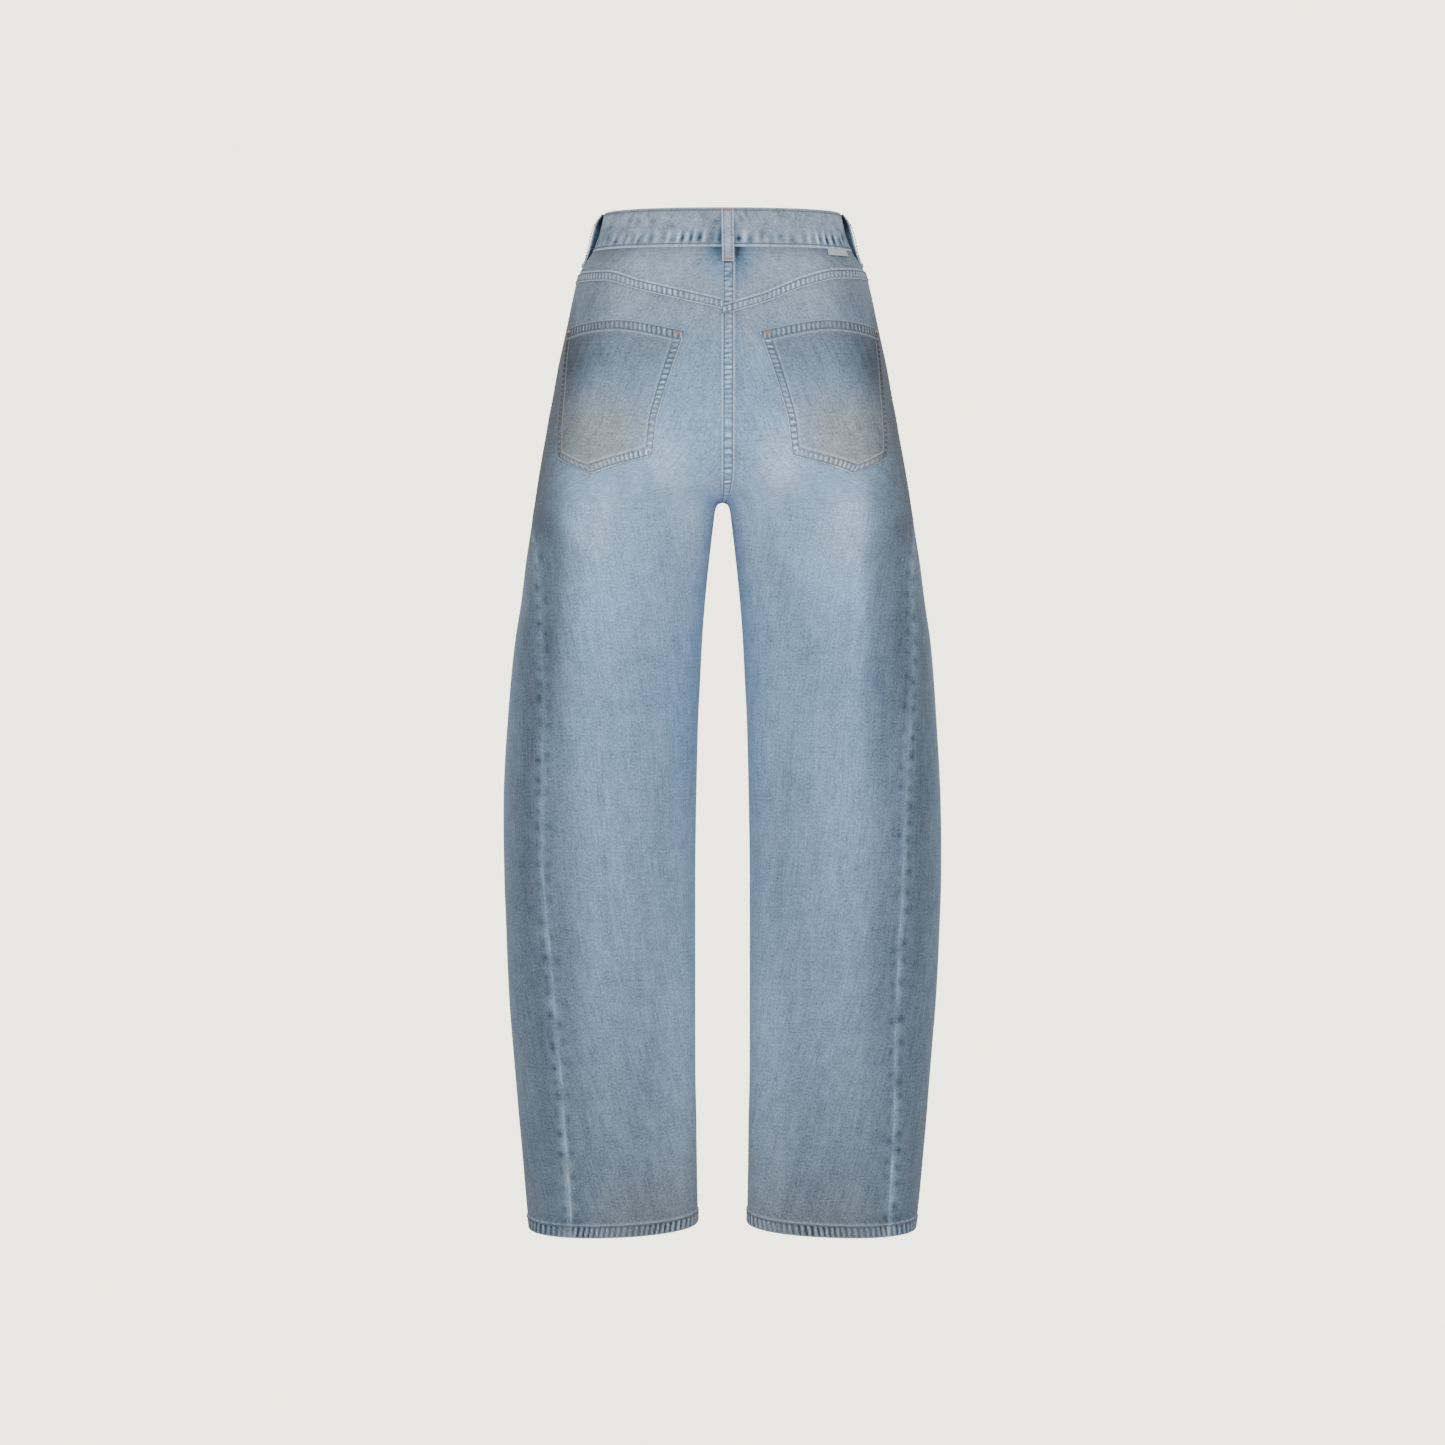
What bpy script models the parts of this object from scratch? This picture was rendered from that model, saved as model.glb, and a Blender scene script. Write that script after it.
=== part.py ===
"""Wide barrel-leg jeans, worn shape with no wearer, as cut-and-sewn solids.

Sizes are in millimetres up to the last step, which writes metres. +Z is up, the
front faces -Y and the wearer's left is +X. z = 0 is the waist's top edge at the side.
A half is one surface over (row, turn): the row is the height at the side line, and
the turn runs from 0 at the centre front or inseam, by 0.5 at the side, to 1 at the
centre back or inseam. Every piece is a wall cut from that surface.
"""

import math

import bmesh
import bpy
import numpy as np

WALL = 1.5              # cloth thickness
GAP = 0.3               # between pieces at a seam
HEM_HEIGHT = 13.0
HEM_EXTRA = 0.55        # the turned hem stands out by this on each face
BAND_HEIGHT = 40.4
BAND_OUT = 0.8          # the waistband stands out from the panels
BAND_WALL = 3.0
FELL_RISE = 0.8         # height of a felled seam over the panel
FELL_YOKE = 9.5         # width of the felled yoke seam
FELL_BACK = 12.0        # width of the felled centre back seam
STEP = 0.6              # width of the slope at a ridge's edge

BEND_ROW = -215.0       # below this row the ends follow the rise curve
CROTCH_ROW = -300.0
BLEND_ROW = -175.0      # the loops start to turn from pelvis to leg here
CUT_SHARE = 0.93        # how far out on the leg loop the rise curve may cut it
EASE_SPAN = 60.0
EASE_TIMES = 60
CROTCH_Y = 14.0
HEM_ROW = -1061.0
RISE_ROUND = 2.4
ARCH_RADIUS = 8.0
ARCH_POWER = 2.5
FRONT_DIP = 12.0        # the waist is lower at the centre front
BACK_LIFT = -0.3
VALLEY_WIDTH = 24.0
HEM_TILT = 6.0          # the hem is higher at the inseam and lower at the back

# Upper half: one row for each level.
PELVIS = {
    "row":        [0, -10, -20, -31, -42, -50, -59, -71, -88, -109, -130, -151, -172, -193, -214,
                   -235, -256, -277, -300],
    "half_width": [122.5, 124.5, 127, 130.5, 136, 141.5, 147, 151.5, 155.6, 160, 164.5, 169.3, 173.4,
                   177.1, 181.3, 184.6, 189, 192.4, 196],
    "front":      [-95, -95.6, -96.3, -97, -98, -98.7, -99.5, -100.5, -102, -103.6, -105, -106, -107,
                   -107.7, -108, -108, -108, -108, -108],
    "back":       [91, 92.5, 94.5, 97, 100, 102, 104.5, 108, 112, 117, 121, 124.5, 127, 128.5, 129,
                   129, 129, 129, 129],
    "valley":     [0, 0, 0, 0, 0.5, 1, 1.5, 2, 2.5, 3, 3.4, 3.7, 4, 4, 4, 4, 4, 4, 4],
    "round":      [2.25, 2.25, 2.25, 2.26, 2.28, 2.3, 2.32, 2.34, 2.36, 2.38, 2.4, 2.4, 2.4, 2.4, 2.4,
                   2.4, 2.4, 2.4, 2.4],
}

# Legs: one row for each level, the widths measured from the middle of the garment.
LEG = {
    "row":        [-175, -300, -325, -360, -402, -444, -486, -528, -570, -612, -654, -696, -738, -780,
                   -822, -864, -905, -947, -989, -1031, -1061],
    "half_width": [174, 196, 199.5, 205.2, 210.6, 217, 221.3, 224.5, 227.4, 229.3, 229.7, 229.3, 227.8,
                   226.2, 224.2, 221.2, 218, 214.7, 210.8, 207, 203.8],
    "inner":      [0, 0, 6.3, 12, 16.8, 20.2, 22.4, 24.6, 25.8, 26.7, 27.4, 27.8, 27.8, 27.8, 27.8,
                   27.8, 27.6, 26.7, 26.2, 25.6, 25],
    "front":      [-106, -103, -101, -98, -94.5, -91, -88.5, -86.5, -85, -83.5, -82, -80.5, -78.5, -76,
                   -73, -69.5, -66, -62, -58, -54, -51],
    "back":       [120, 112, 109, 104, 98.5, 93.5, 89, 84.5, 80.5, 77, 74, 71.5, 69, 67, 65,
                   63, 61.5, 60, 58.5, 57, 56],
    "middle":     [14, 14, 12, 9, 6, 3, 0, -2, -3, -4, -4, -4, -4, -3, -2, -1, 0, 1, 2, 3, 3],
    "side":       [0, 0, 0, 0, 0, 0, -1, -2, -3, -4, -4, -4, -4, -3, -2, -1, 0, 1, 2, 3, 3],
    "round":      [2.7, 2.8, 2.75, 2.65, 2.5, 2.4, 2.3, 2.25, 2.2, 2.2, 2.2, 2.2, 2.2, 2.2, 2.2,
                   2.2, 2.2, 2.2, 2.2, 2.2, 2.2],
}

# Lower edge of the yoke, by turn from the side to the centre back.
YOKE_EDGE = {
    "turn":  [0.5, 0.6, 0.7, 0.8, 0.9, 1.0],
    "left":  [-73.5, -72.8, -73.5, -84, -94, -104],
    "right": [-70.5, -70.3, -71.5, -80.5, -97, -110],
}

# How far the outseam swings to the back of the side line, along the cloth.
OUTSEAM = {
    "row":   [-1061, -1011, -931, -852, -771, -691, -616, -552, -486, -420, -381, -350, -330, -315, -300,
              -285, 0],
    "left":  [72, 75.5, 79.5, 82.5, 84, 83, 86, 87, 85.5, 81, 75, 66, 46, 23, 6, 0, 0],
    "right": [55, 59, 65.5, 73.5, 79, 81.5, 82.5, 79, 75, 72.5, 69.5, 60, 42, 21, 5, 0, 0],
}

# Back pocket outline: distance from the centre back along the cloth, and height.
POCKET = {
    "edge_height": [0.0, 0.47, 0.8, 1.0],
    "inner":       [37.0, 56.0, 67.0, 71.5],
    "outer":       [190.0, 189.0, 185.5, 180.5],
}
POCKET_TOP = {"across": [0.0, 0.5, 1.0], "row": [-126.5, -114.5, -121.5]}
POCKET_END = {"across": [0.0, 0.66, 1.0], "row": [-242.5, -270.0, -255.0]}
POCKET_LIFT = 0.45
POCKET_WALL = 1.6

SCOOP_TURN = 0.285      # where the front pocket's mouth meets the waistband
SCOOP_DEPTH = 72.0
FACING_MARGIN = 24.0
FACING_OUT = -2.2
FACING_WALL = 1.2

FLY_LENGTH = 150.0
FLY_RIGHT = 30.0
FLY_LEFT = 10.0

LOOP_WIDTH = 12.0
LOOP_WALL = 1.7
BACK_LOOP_AT = 5.0      # the back loop sits this far to the wearer's right
BACK_LOOP = {
    "row":  [-1.0, -5.0, -10.0, -17.0, -25.0, -33.0, -40.0, -46.0, -51.0, -56.0],
    "lift": [1.15, 1.3, 2.6, 3.7, 3.9, 3.3, 2.4, 1.7, 1.3, 1.3],
}
FRONT_LOOP = {
    "row":  [-1.0, -5.0, -10.0, -17.0, -25.0, -33.0, -40.0, -46.0, -51.0, -56.0],
    "lift": [1.15, 1.3, 2.6, 3.7, 3.9, 3.1, 2.0, 1.0, 0.5, 0.5],
}
SIDE_LOOP = {
    "row":  [-1.0, -4.0, -9.0, -16.0, -24.0, -33.0, -41.0, -47.0, -51.0, -56.0],
    "lift": [1.15, 1.7, 4.8, 7.0, 7.3, 6.2, 4.1, 1.9, 0.5, 0.4],
}
FRONT_LOOP_TURN = 0.225
LABEL_FROM_BACK = 130.0
LABEL_WIDTH = 32.0

# Largest soft folds: face is 1 on the back and -1 on the front, side is 1 for the wearer's
# left. Each runs from the top row to the end row at a distance from the middle plane.
FOLDS = {
    "face":  [1, 1, 1, 1, 1, 1, 1, 1, -1, -1, -1, -1, -1, -1],
    "side":  [1, -1, 1, -1, 1, -1, 1, -1, 1, -1, 0, 0, 1, -1],
    "top":   [-235, -230, -235, -262, -480, -430, -560, -520, -285, -290, -300, -480, -640, -600],
    "end":   [-600, -650, -420, -520, -960, -990, -1030, -900, -420, -450, -620, -900, -980, -1000],
    "x_top": [176, 160, 84, 14, 125, 120, 62, 60, 60, 66, 128, 120, 70, 160],
    "x_end": [196, 168, 30, 104, 118, 118, 46, 50, 20, 24, 150, 112, 52, 140],
    "width": [19, 21, 17, 17, 28, 28, 20, 20, 18, 18, 24, 30, 22, 24],
    "depth": [-3.0, -3.0, -2.2, -2.2, 1.6, 1.5, -1.6, -1.4, -2.2, -2.2, 2.0, 1.6, -1.6, -1.6],
}

LATTICE = 2.5           # row spacing of the base surface
TURNS = 240


def smooth(xs, ys, x):
    """Monotone cubic through a table's column, with xs rising."""
    xs = np.asarray(xs, float)
    ys = np.asarray(ys, float)
    if xs[0] > xs[-1]:
        xs = xs[::-1]
        ys = ys[::-1]
    step = np.diff(xs)
    slope = np.diff(ys) / step
    ahead = 2 * step[1:] + step[:-1]
    behind = step[1:] + 2 * step[:-1]
    same = slope[1:] * slope[:-1] > 0
    safe_low = np.where(same, slope[:-1], 1.0)
    safe_high = np.where(same, slope[1:], 1.0)
    inner = np.where(same, (ahead + behind) / (ahead / safe_low + behind / safe_high), 0.0)
    tangent = np.concatenate([[slope[0]], inner, [slope[-1]]])
    x = np.clip(np.asarray(x, float), xs[0], xs[-1])
    at = np.clip(np.searchsorted(xs, x, side="right") - 1, 0, len(xs) - 2)
    s = (x - xs[at]) / step[at]
    low = ys[at] * (2 * s**3 - 3 * s**2 + 1) + ys[at + 1] * (3 * s**2 - 2 * s**3)
    bend = tangent[at] * (s**3 - 2 * s**2 + s) + tangent[at + 1] * (s**3 - s**2)
    return low + step[at] * bend


def read(table, column, row):
    return float(smooth(table["row"], table[column], row))


def ramp(x):
    x = np.clip(x, 0.0, 1.0)
    return x * x * (3 - 2 * x)


def by_length(x, y, half, turn):
    """Points at each turn along a curve, the turn 0.5 being the sample half."""
    along = np.concatenate([[0.0], np.cumsum(np.hypot(np.diff(x), np.diff(y)))])
    front = along[half]
    back = along[-1] - front
    share = np.where(along <= front, 0.5 * along / front, 0.5 + 0.5 * (along - front) / back)
    return np.interp(turn, share, x), np.interp(turn, share, y)


def pelvis_loop(row, turn):
    width = read(PELVIS, "half_width", row)
    power = 2.0 / read(PELVIS, "round", row)
    front = read(PELVIS, "front", row)
    back = read(PELVIS, "back", row)
    angle = np.linspace(0.0, math.pi, 721)
    x = width * np.abs(np.sin(angle)) ** power
    across = np.abs(np.cos(angle)) ** power
    y = np.where(angle <= math.pi / 2, front * across, back * across)
    return by_length(x, y, 360, turn)


def leg_loop(row, turn):
    outer = read(LEG, "half_width", row)
    inner = read(LEG, "inner", row)
    power = 2.0 / read(LEG, "round", row)
    front = read(LEG, "front", row)
    back = read(LEG, "back", row)
    angle = np.linspace(0.0, 2 * math.pi, 961)
    cosine = np.cos(angle)
    sine = np.sin(angle)
    half = (outer - inner) / 2
    x = inner + half * (1 - np.sign(cosine) * np.abs(cosine) ** power)
    base = read(LEG, "middle", row) + (read(LEG, "side", row) - read(LEG, "middle", row)) * (
        (x - inner) / (outer - inner))
    reach = np.abs(sine) ** power
    y = base + np.where(sine >= 0, (front - base) * reach, (back - base) * reach)
    return by_length(x, y, 480, turn)


def outside_rise(y, z):
    """How far a point lies outside the rise curve, in the plane of the middle."""
    front = CROTCH_Y - read(PELVIS, "front", BEND_ROW)
    back = read(PELVIS, "back", BEND_ROW) - CROTCH_Y
    across = np.where(y < CROTCH_Y, (CROTCH_Y - y) / front, (y - CROTCH_Y) / back)
    down = np.maximum(BEND_ROW - z, 0.0) / (BEND_ROW - CROTCH_ROW)
    level = np.maximum(across**RISE_ROUND + down**RISE_ROUND, 1e-9) ** (1 / RISE_ROUND)
    radius = np.hypot(y - CROTCH_Y, np.minimum(z - BEND_ROW, 0.0))
    return np.where(z < BEND_ROW, np.maximum(radius - radius / level, 0.0), 0.0)


def rise_point(row):
    """The rise curve at a row: front and back distance, and height."""
    front = read(PELVIS, "front", row)
    back = read(PELVIS, "back", row)
    if row >= BEND_ROW:
        return front, back, row
    angle = (BEND_ROW - row) / (BEND_ROW - CROTCH_ROW) * math.pi / 2
    across = math.cos(angle) ** (2 / RISE_ROUND)
    height = BEND_ROW + (CROTCH_ROW - BEND_ROW) * math.sin(angle) ** (2 / RISE_ROUND)
    return CROTCH_Y + (front - CROTCH_Y) * across, CROTCH_Y + (back - CROTCH_Y) * across, height


def joined_loop(row, turn, ends):
    """Half loop above the crotch: a pelvis loop that turns into a leg loop cut off at
    the rise curve."""
    front, back, height = rise_point(row)
    px, py = pelvis_loop(row, turn)
    share = float(ramp((BLEND_ROW - row) / (BLEND_ROW - CROTCH_ROW)))
    if share > 0:
        fine = np.linspace(0.0, 1.0, 961)
        lx, ly = leg_loop(row, fine)
        deep = max(front, CROTCH_Y + CUT_SHARE * (ly.min() - CROTCH_Y))
        far = min(back, CROTCH_Y + CUT_SHARE * (ly.max() - CROTCH_Y))
        start = float(np.interp(-deep, -ly[:200], fine[:200]))
        end = float(np.interp(-far, -ly[760:], fine[760:]))
        used = start + (end - start) * turn
        cx = np.interp(used, fine, lx)
        cy = np.interp(used, fine, ly)
        near_front = ramp(1 - turn / 0.3) * cx[0]
        near_back = ramp(1 - (1 - turn) / 0.3) * cx[-1]
        px = (1 - share) * px + share * (cx - near_front - near_back)
        py = (1 - share) * py + share * cy
    py = py + (front - py[0]) * np.exp(-((turn / 0.1) ** 2))
    py = py + (back - py[-1]) * np.exp(-(((1 - turn) / 0.1) ** 2))
    return px, py, row + (height - row) * ends**4


def eased(rows, turn, grid):
    """Averages neighbouring rows round the crotch, away from the seam itself."""
    near = ramp((EASE_SPAN - np.abs(rows - CROTCH_ROW)) / 20.0)[:, None, None]
    off_seam = ramp((np.minimum(turn, 1 - turn) - 0.012) / 0.06)[None, :, None]
    weight = near * off_seam
    for _ in range(EASE_TIMES):
        middle = (grid[:-2] + 2 * grid[1:-1] + grid[2:]) / 4
        grid = grid.copy()
        grid[1:-1] = grid[1:-1] * (1 - weight[1:-1]) + middle * weight[1:-1]
    return grid


def base_surface():
    """Points and outward normals of the left half over (row, turn)."""
    rows = np.arange(LATTICE, HEM_ROW - 2 * LATTICE, -LATTICE)
    turn = np.linspace(0.0, 1.0, TURNS + 1)
    ends = np.cos(math.pi * turn) ** 2
    points = np.zeros((len(rows), len(turn), 3))
    for i, row in enumerate(rows):
        if row > CROTCH_ROW:
            x, y, z = joined_loop(row, turn, ends)
        else:
            x, y = leg_loop(row, turn)
            z = np.full_like(x, row)
        fade = 1 - ramp(-row / -BEND_ROW)
        z = z + fade * ends * np.where(turn < 0.5, -FRONT_DIP, BACK_LIFT)
        tilt = ramp((-850.0 - row) / 200.0) * HEM_TILT
        reach = (x - x.min()) / (x.max() - x.min())
        z = z + tilt * (1 - reach) - tilt * y / 55.0
        depth = read(PELVIS, "valley", row) * np.exp(-((x / VALLEY_WIDTH) ** 2))
        y = y - np.where((turn > 0.5) & (row > CROTCH_ROW), depth, 0.0)
        away = np.minimum(outside_rise(y, z), ARCH_RADIUS)
        arch = np.sqrt(np.maximum(ARCH_RADIUS**2 - (ARCH_RADIUS - away) ** 2, 0.0))
        x = (np.maximum(x, 0.0) ** ARCH_POWER + arch**ARCH_POWER) ** (1 / ARCH_POWER)
        points[i, :, 0] = x + GAP / 2
        points[i, :, 1] = y
        points[i, :, 2] = z
    points = eased(rows, turn, points)
    along = np.gradient(points, axis=1)
    upward = -np.gradient(points, axis=0)
    normals = eased(rows, turn, np.cross(along, upward))
    legs = rows < CROTCH_ROW
    for edge, sign in ((0, 1), (-1, -1)):
        down = np.gradient(points[~legs, edge], axis=0)
        normals[~legs, edge, 0] = 0.0
        normals[~legs, edge, 1] = sign * down[:, 2]
        normals[~legs, edge, 2] = -sign * down[:, 1]
    at_crotch = np.argmin(np.abs(rows - CROTCH_ROW))
    normals[at_crotch, 0] = (0, 0, -1)
    normals[at_crotch, -1] = (0, 0, -1)
    normals = normals / np.linalg.norm(normals, axis=2, keepdims=True)
    closed = normals[legs, 0] + normals[legs, -1]
    closed = closed / np.linalg.norm(closed, axis=1, keepdims=True)
    normals[legs, 0] = closed
    normals[legs, -1] = closed
    return rows, points, normals


ROWS, POINTS, NORMALS = base_surface()
LENGTHS = np.concatenate(
    [np.zeros((len(ROWS), 1)),
     np.cumsum(np.linalg.norm(np.diff(POINTS, axis=1), axis=2), axis=1)], axis=1)


def between(grid, row, turn):
    """Value of a base grid at rows and turns."""
    i = np.clip((ROWS[0] - row) / LATTICE, 0, len(ROWS) - 1.001)
    j = np.clip(turn * TURNS, 0, TURNS - 0.001)
    i0 = i.astype(int)
    j0 = j.astype(int)
    di = i - i0
    dj = j - j0
    if grid.ndim == 3:
        di = di[..., None]
        dj = dj[..., None]
    low = grid[i0, j0] * (1 - dj) + grid[i0, j0 + 1] * dj
    high = grid[i0 + 1, j0] * (1 - dj) + grid[i0 + 1, j0 + 1] * dj
    return low * (1 - di) + high * di


def lifted(row, turn, lift):
    """Point of the half at a row and turn, moved out by lift. Turns under 0 and over 1
    go past the middle to the other side."""
    row = np.asarray(row, float)
    turn = np.asarray(turn, float)
    row, turn = np.broadcast_arrays(row, turn)
    other = (turn < 0) | (turn > 1)
    inside = np.where(turn < 0, -turn, np.where(turn > 1, 2 - turn, turn))
    point = between(POINTS, row, inside)
    normal = between(NORMALS, row, inside)
    normal = normal / np.linalg.norm(normal, axis=-1, keepdims=True)
    placed = point + normal * np.asarray(lift, float)[..., None]
    placed[..., 0] = np.where(other, -placed[..., 0], placed[..., 0])
    return placed


def turn_at(row, from_back):
    """Turn at a distance along the cloth from the centre back or inseam."""
    row = np.asarray(row, float)
    total = between(LENGTHS, row, np.ones_like(row))
    wanted = total - from_back
    low = np.zeros_like(row)
    high = np.ones_like(row)
    for _ in range(24):
        middle = (low + high) / 2
        short = between(LENGTHS, row, middle) < wanted
        low = np.where(short, middle, low)
        high = np.where(short, high, middle)
    return (low + high) / 2


def outseam_turn(row, side):
    """Turn of the outseam at a row."""
    row = np.asarray(row, float)
    column = "left" if side > 0 else "right"
    swing = smooth(OUTSEAM["row"], OUTSEAM[column], row)
    total = between(LENGTHS, row, np.ones_like(row))
    to_side = total - between(LENGTHS, row, np.full_like(row, 0.5))
    return turn_at(row, to_side - swing)


def yoke_row(turn, side):
    column = "left" if side > 0 else "right"
    return smooth(YOKE_EDGE["turn"], YOKE_EDGE[column], turn)


def seam_shift(row, turn, distance):
    """Turn moved along the cloth by a distance."""
    ahead = between(LENGTHS, row, np.clip(turn + 0.004, 0, 1))
    behind = between(LENGTHS, row, np.clip(turn - 0.004, 0, 1))
    span = np.clip(turn + 0.004, 0, 1) - np.clip(turn - 0.004, 0, 1)
    return turn + distance * span / (ahead - behind)


def material(name, colour, metallic, rough):
    made = bpy.data.materials.new(name)
    made.use_nodes = True
    shader = made.node_tree.nodes["Principled BSDF"]
    shader.inputs["Base Color"].default_value = (*colour, 1.0)
    shader.inputs["Metallic"].default_value = metallic
    shader.inputs["Roughness"].default_value = rough
    made.diffuse_color = (*colour, 1.0)
    return made


def solid(name, outer, inner, side, cloth):
    """A wall between two grids of points, closed by its rim."""
    outer = np.array(outer)
    inner = np.array(inner)
    if side < 0:
        outer[..., 0] *= -1
        inner[..., 0] *= -1
    rows, columns = outer.shape[:2]
    points = np.concatenate([outer.reshape(-1, 3), inner.reshape(-1, 3)]) / 1000.0
    half = rows * columns
    faces = []

    def at(layer, i, j):
        return layer * half + i * columns + j

    for i in range(rows - 1):
        for j in range(columns - 1):
            quad = [(i, j), (i + 1, j), (i + 1, j + 1), (i, j + 1)]
            faces.append([at(0, *corner) for corner in quad])
            faces.append([at(1, *corner) for corner in reversed(quad)])
    low = rows - 1
    for j in range(columns - 1):
        faces.append([at(0, 0, j), at(0, 0, j + 1), at(1, 0, j + 1), at(1, 0, j)])
        faces.append([at(0, low, j + 1), at(0, low, j), at(1, low, j), at(1, low, j + 1)])
    last = columns - 1
    for i in range(rows - 1):
        faces.append([at(0, i + 1, 0), at(0, i, 0), at(1, i, 0), at(1, i + 1, 0)])
        faces.append([at(0, i, last), at(0, i + 1, last), at(1, i + 1, last), at(1, i, last)])
    mesh = bpy.data.meshes.new(name)
    mesh.from_pydata([tuple(p) for p in points], [], faces)
    shape = bmesh.new()
    shape.from_mesh(mesh)
    bmesh.ops.recalc_face_normals(shape, faces=shape.faces)
    bmesh.ops.triangulate(shape, faces=shape.faces)
    shape.to_mesh(mesh)
    shape.free()
    mesh.materials.append(cloth)
    made = bpy.data.objects.new(name, mesh)
    COLLECTION.objects.link(made)
    return made


def folds(row, turn, side):
    """Height of the largest soft folds over a half."""
    x = between(POINTS, row, turn)[..., 0]
    back = ramp((turn - 0.44) / 0.12)
    total = np.zeros_like(x)
    for k, face in enumerate(FOLDS["face"]):
        if FOLDS["side"][k] * side < 0:
            continue
        top = FOLDS["top"][k]
        share = (top - row) / (top - FOLDS["end"][k])
        line = FOLDS["x_top"][k] + (FOLDS["x_end"][k] - FOLDS["x_top"][k]) * share
        window = ramp(share / 0.3) * ramp((1 - share) / 0.3)
        near = np.exp(-(((x - line) / FOLDS["width"][k]) ** 2))
        total = total + FOLDS["depth"][k] * near * window * (back if face > 0 else 1 - back)
    off_seam = ramp(np.minimum(turn, 1 - turn) / 0.05)
    return total * off_seam


def wall(name, row, turn, lift, thickness, side, cloth):
    """A piece of cloth over grids of rows and turns."""
    row, turn, lift, thickness = np.broadcast_arrays(row, turn, lift, thickness)
    lift = lift + folds(row, turn, side)
    outer = lifted(row, turn, lift)
    inner = lifted(row, turn, lift - thickness)
    return solid(name, outer, inner, side, cloth)


def hem_lift(row):
    return np.where(row < HEM_ROW + HEM_HEIGHT, HEM_EXTRA, 0.0)


LEG_LEVELS = [-215, -232, -249, -264, -277, -288, -295, -298.5, -300, -301.2, -303.5, -307, -312,
              -321, -337, -360, -390, -428, -476, -530, -585, -640, -695, -750, -805,
              -860, -915, -970, -1018, HEM_ROW + HEM_HEIGHT + STEP, HEM_ROW + HEM_HEIGHT - STEP, HEM_ROW]


def body_rows(top, levels_above, turn_count):
    """Grid of rows that starts at an uneven top edge and is level from the bend down."""
    share = np.linspace(0.0, 1.0, levels_above + 1)[:-1]
    top = np.broadcast_to(top, (turn_count,))
    above = top[None, :] * (1 - share[:, None]) + LEG_LEVELS[0] * share[:, None]
    below = np.repeat(np.array(LEG_LEVELS, float)[:, None], turn_count, axis=1)
    return np.concatenate([above, below])


def part_at_inseam(row, turn, distance):
    """Keeps front and back apart where both reach the inseam."""
    return np.where(row <= -290.0, seam_shift(row, turn, distance), turn)


def back_panel(side, cloth):
    distances = [0.0, 6.0, FELL_BACK - STEP / 2, FELL_BACK + STEP / 2, 24.0, 37.0, 50.0, 64.0, 79.0, 95.0]
    extra = 8
    count = len(distances) + extra
    start = np.full(count, -100.0)
    for _ in range(6):
        turns = columns_from_back(start, distances, extra, side)
        start = yoke_row(turns, side) - GAP
    row = body_rows(start, 7, count)
    turn = np.zeros_like(row)
    for i in range(len(row)):
        turn[i] = columns_from_back(row[i], distances, extra, side)
    turn[:, 0] = part_at_inseam(row[:, 0], turn[:, 0], -GAP / 2)
    turn[:, -1] = seam_shift(row[:, -1], turn[:, -1], GAP / 2)
    ridge = FELL_RISE * ramp((row - CROTCH_ROW) / 25.0)
    near = np.arange(count) <= 2
    lift = hem_lift(row) + (np.where(near[None, :], ridge, 0.0) if side < 0 else 0.0)
    thickness = WALL + 2 * hem_lift(row) + (np.where(near[None, :], ridge, 0.0) if side < 0 else 0.0)
    return wall(side_name("back", side), row, turn, lift, thickness, side, cloth)


def columns_from_back(row, distances, extra, side):
    """Turns of a back piece's columns: fixed distances, then even ones to the outseam."""
    fixed = len(distances)
    seam = outseam_turn(row[-1:], side)[0]
    turns = np.zeros(fixed + extra)
    turns[:fixed] = turn_at(row[:fixed], np.array(distances))
    first = turns[fixed - 1]
    share = np.arange(1, extra + 1) / extra
    turns[fixed:] = first + (seam - first) * share
    return turns


def yoke(side, cloth):
    distances = [0.0, 6.0, FELL_BACK - STEP / 2, FELL_BACK + STEP / 2, 24.0, 37.0, 50.0, 64.0, 79.0, 95.0]
    extra = 8
    count = len(distances) + extra
    share = [0.0, 0.3, 0.6]
    row = np.zeros((len(share) + 4, count))
    turn = np.zeros_like(row)
    top = -BAND_HEIGHT - GAP
    end = np.full(count, -100.0)
    for _ in range(6):
        turns = columns_from_back(end, distances, extra, side)
        end = yoke_row(turns, side)
    for i, s in enumerate(share):
        row[i] = top * (1 - s) + (end + FELL_YOKE + STEP / 2) * s
    row[3] = end + FELL_YOKE + STEP / 2
    row[4] = end + FELL_YOKE - STEP / 2
    row[5] = end + FELL_YOKE / 2
    row[6] = end
    for i in range(len(row)):
        turn[i] = columns_from_back(row[i], distances, extra, side)
    turn[:, -1] = seam_shift(row[:, -1], turn[:, -1], GAP / 2)
    raised = np.zeros_like(row)
    raised[4:] = FELL_RISE
    if side < 0:
        raised[:, :3] = FELL_RISE
    return wall(side_name("yoke", side), row, turn, raised, WALL + raised, side, cloth)


def scoop_columns():
    """Turns of the pocket mouth's columns and the depth of the mouth at each."""
    angle = np.radians(np.array([0, 12, 25, 38, 50, 61, 71, 81, 90.0]))
    turns = 0.5 - (0.5 - SCOOP_TURN) * np.cos(angle)
    return turns, SCOOP_DEPTH * np.sin(angle)


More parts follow.
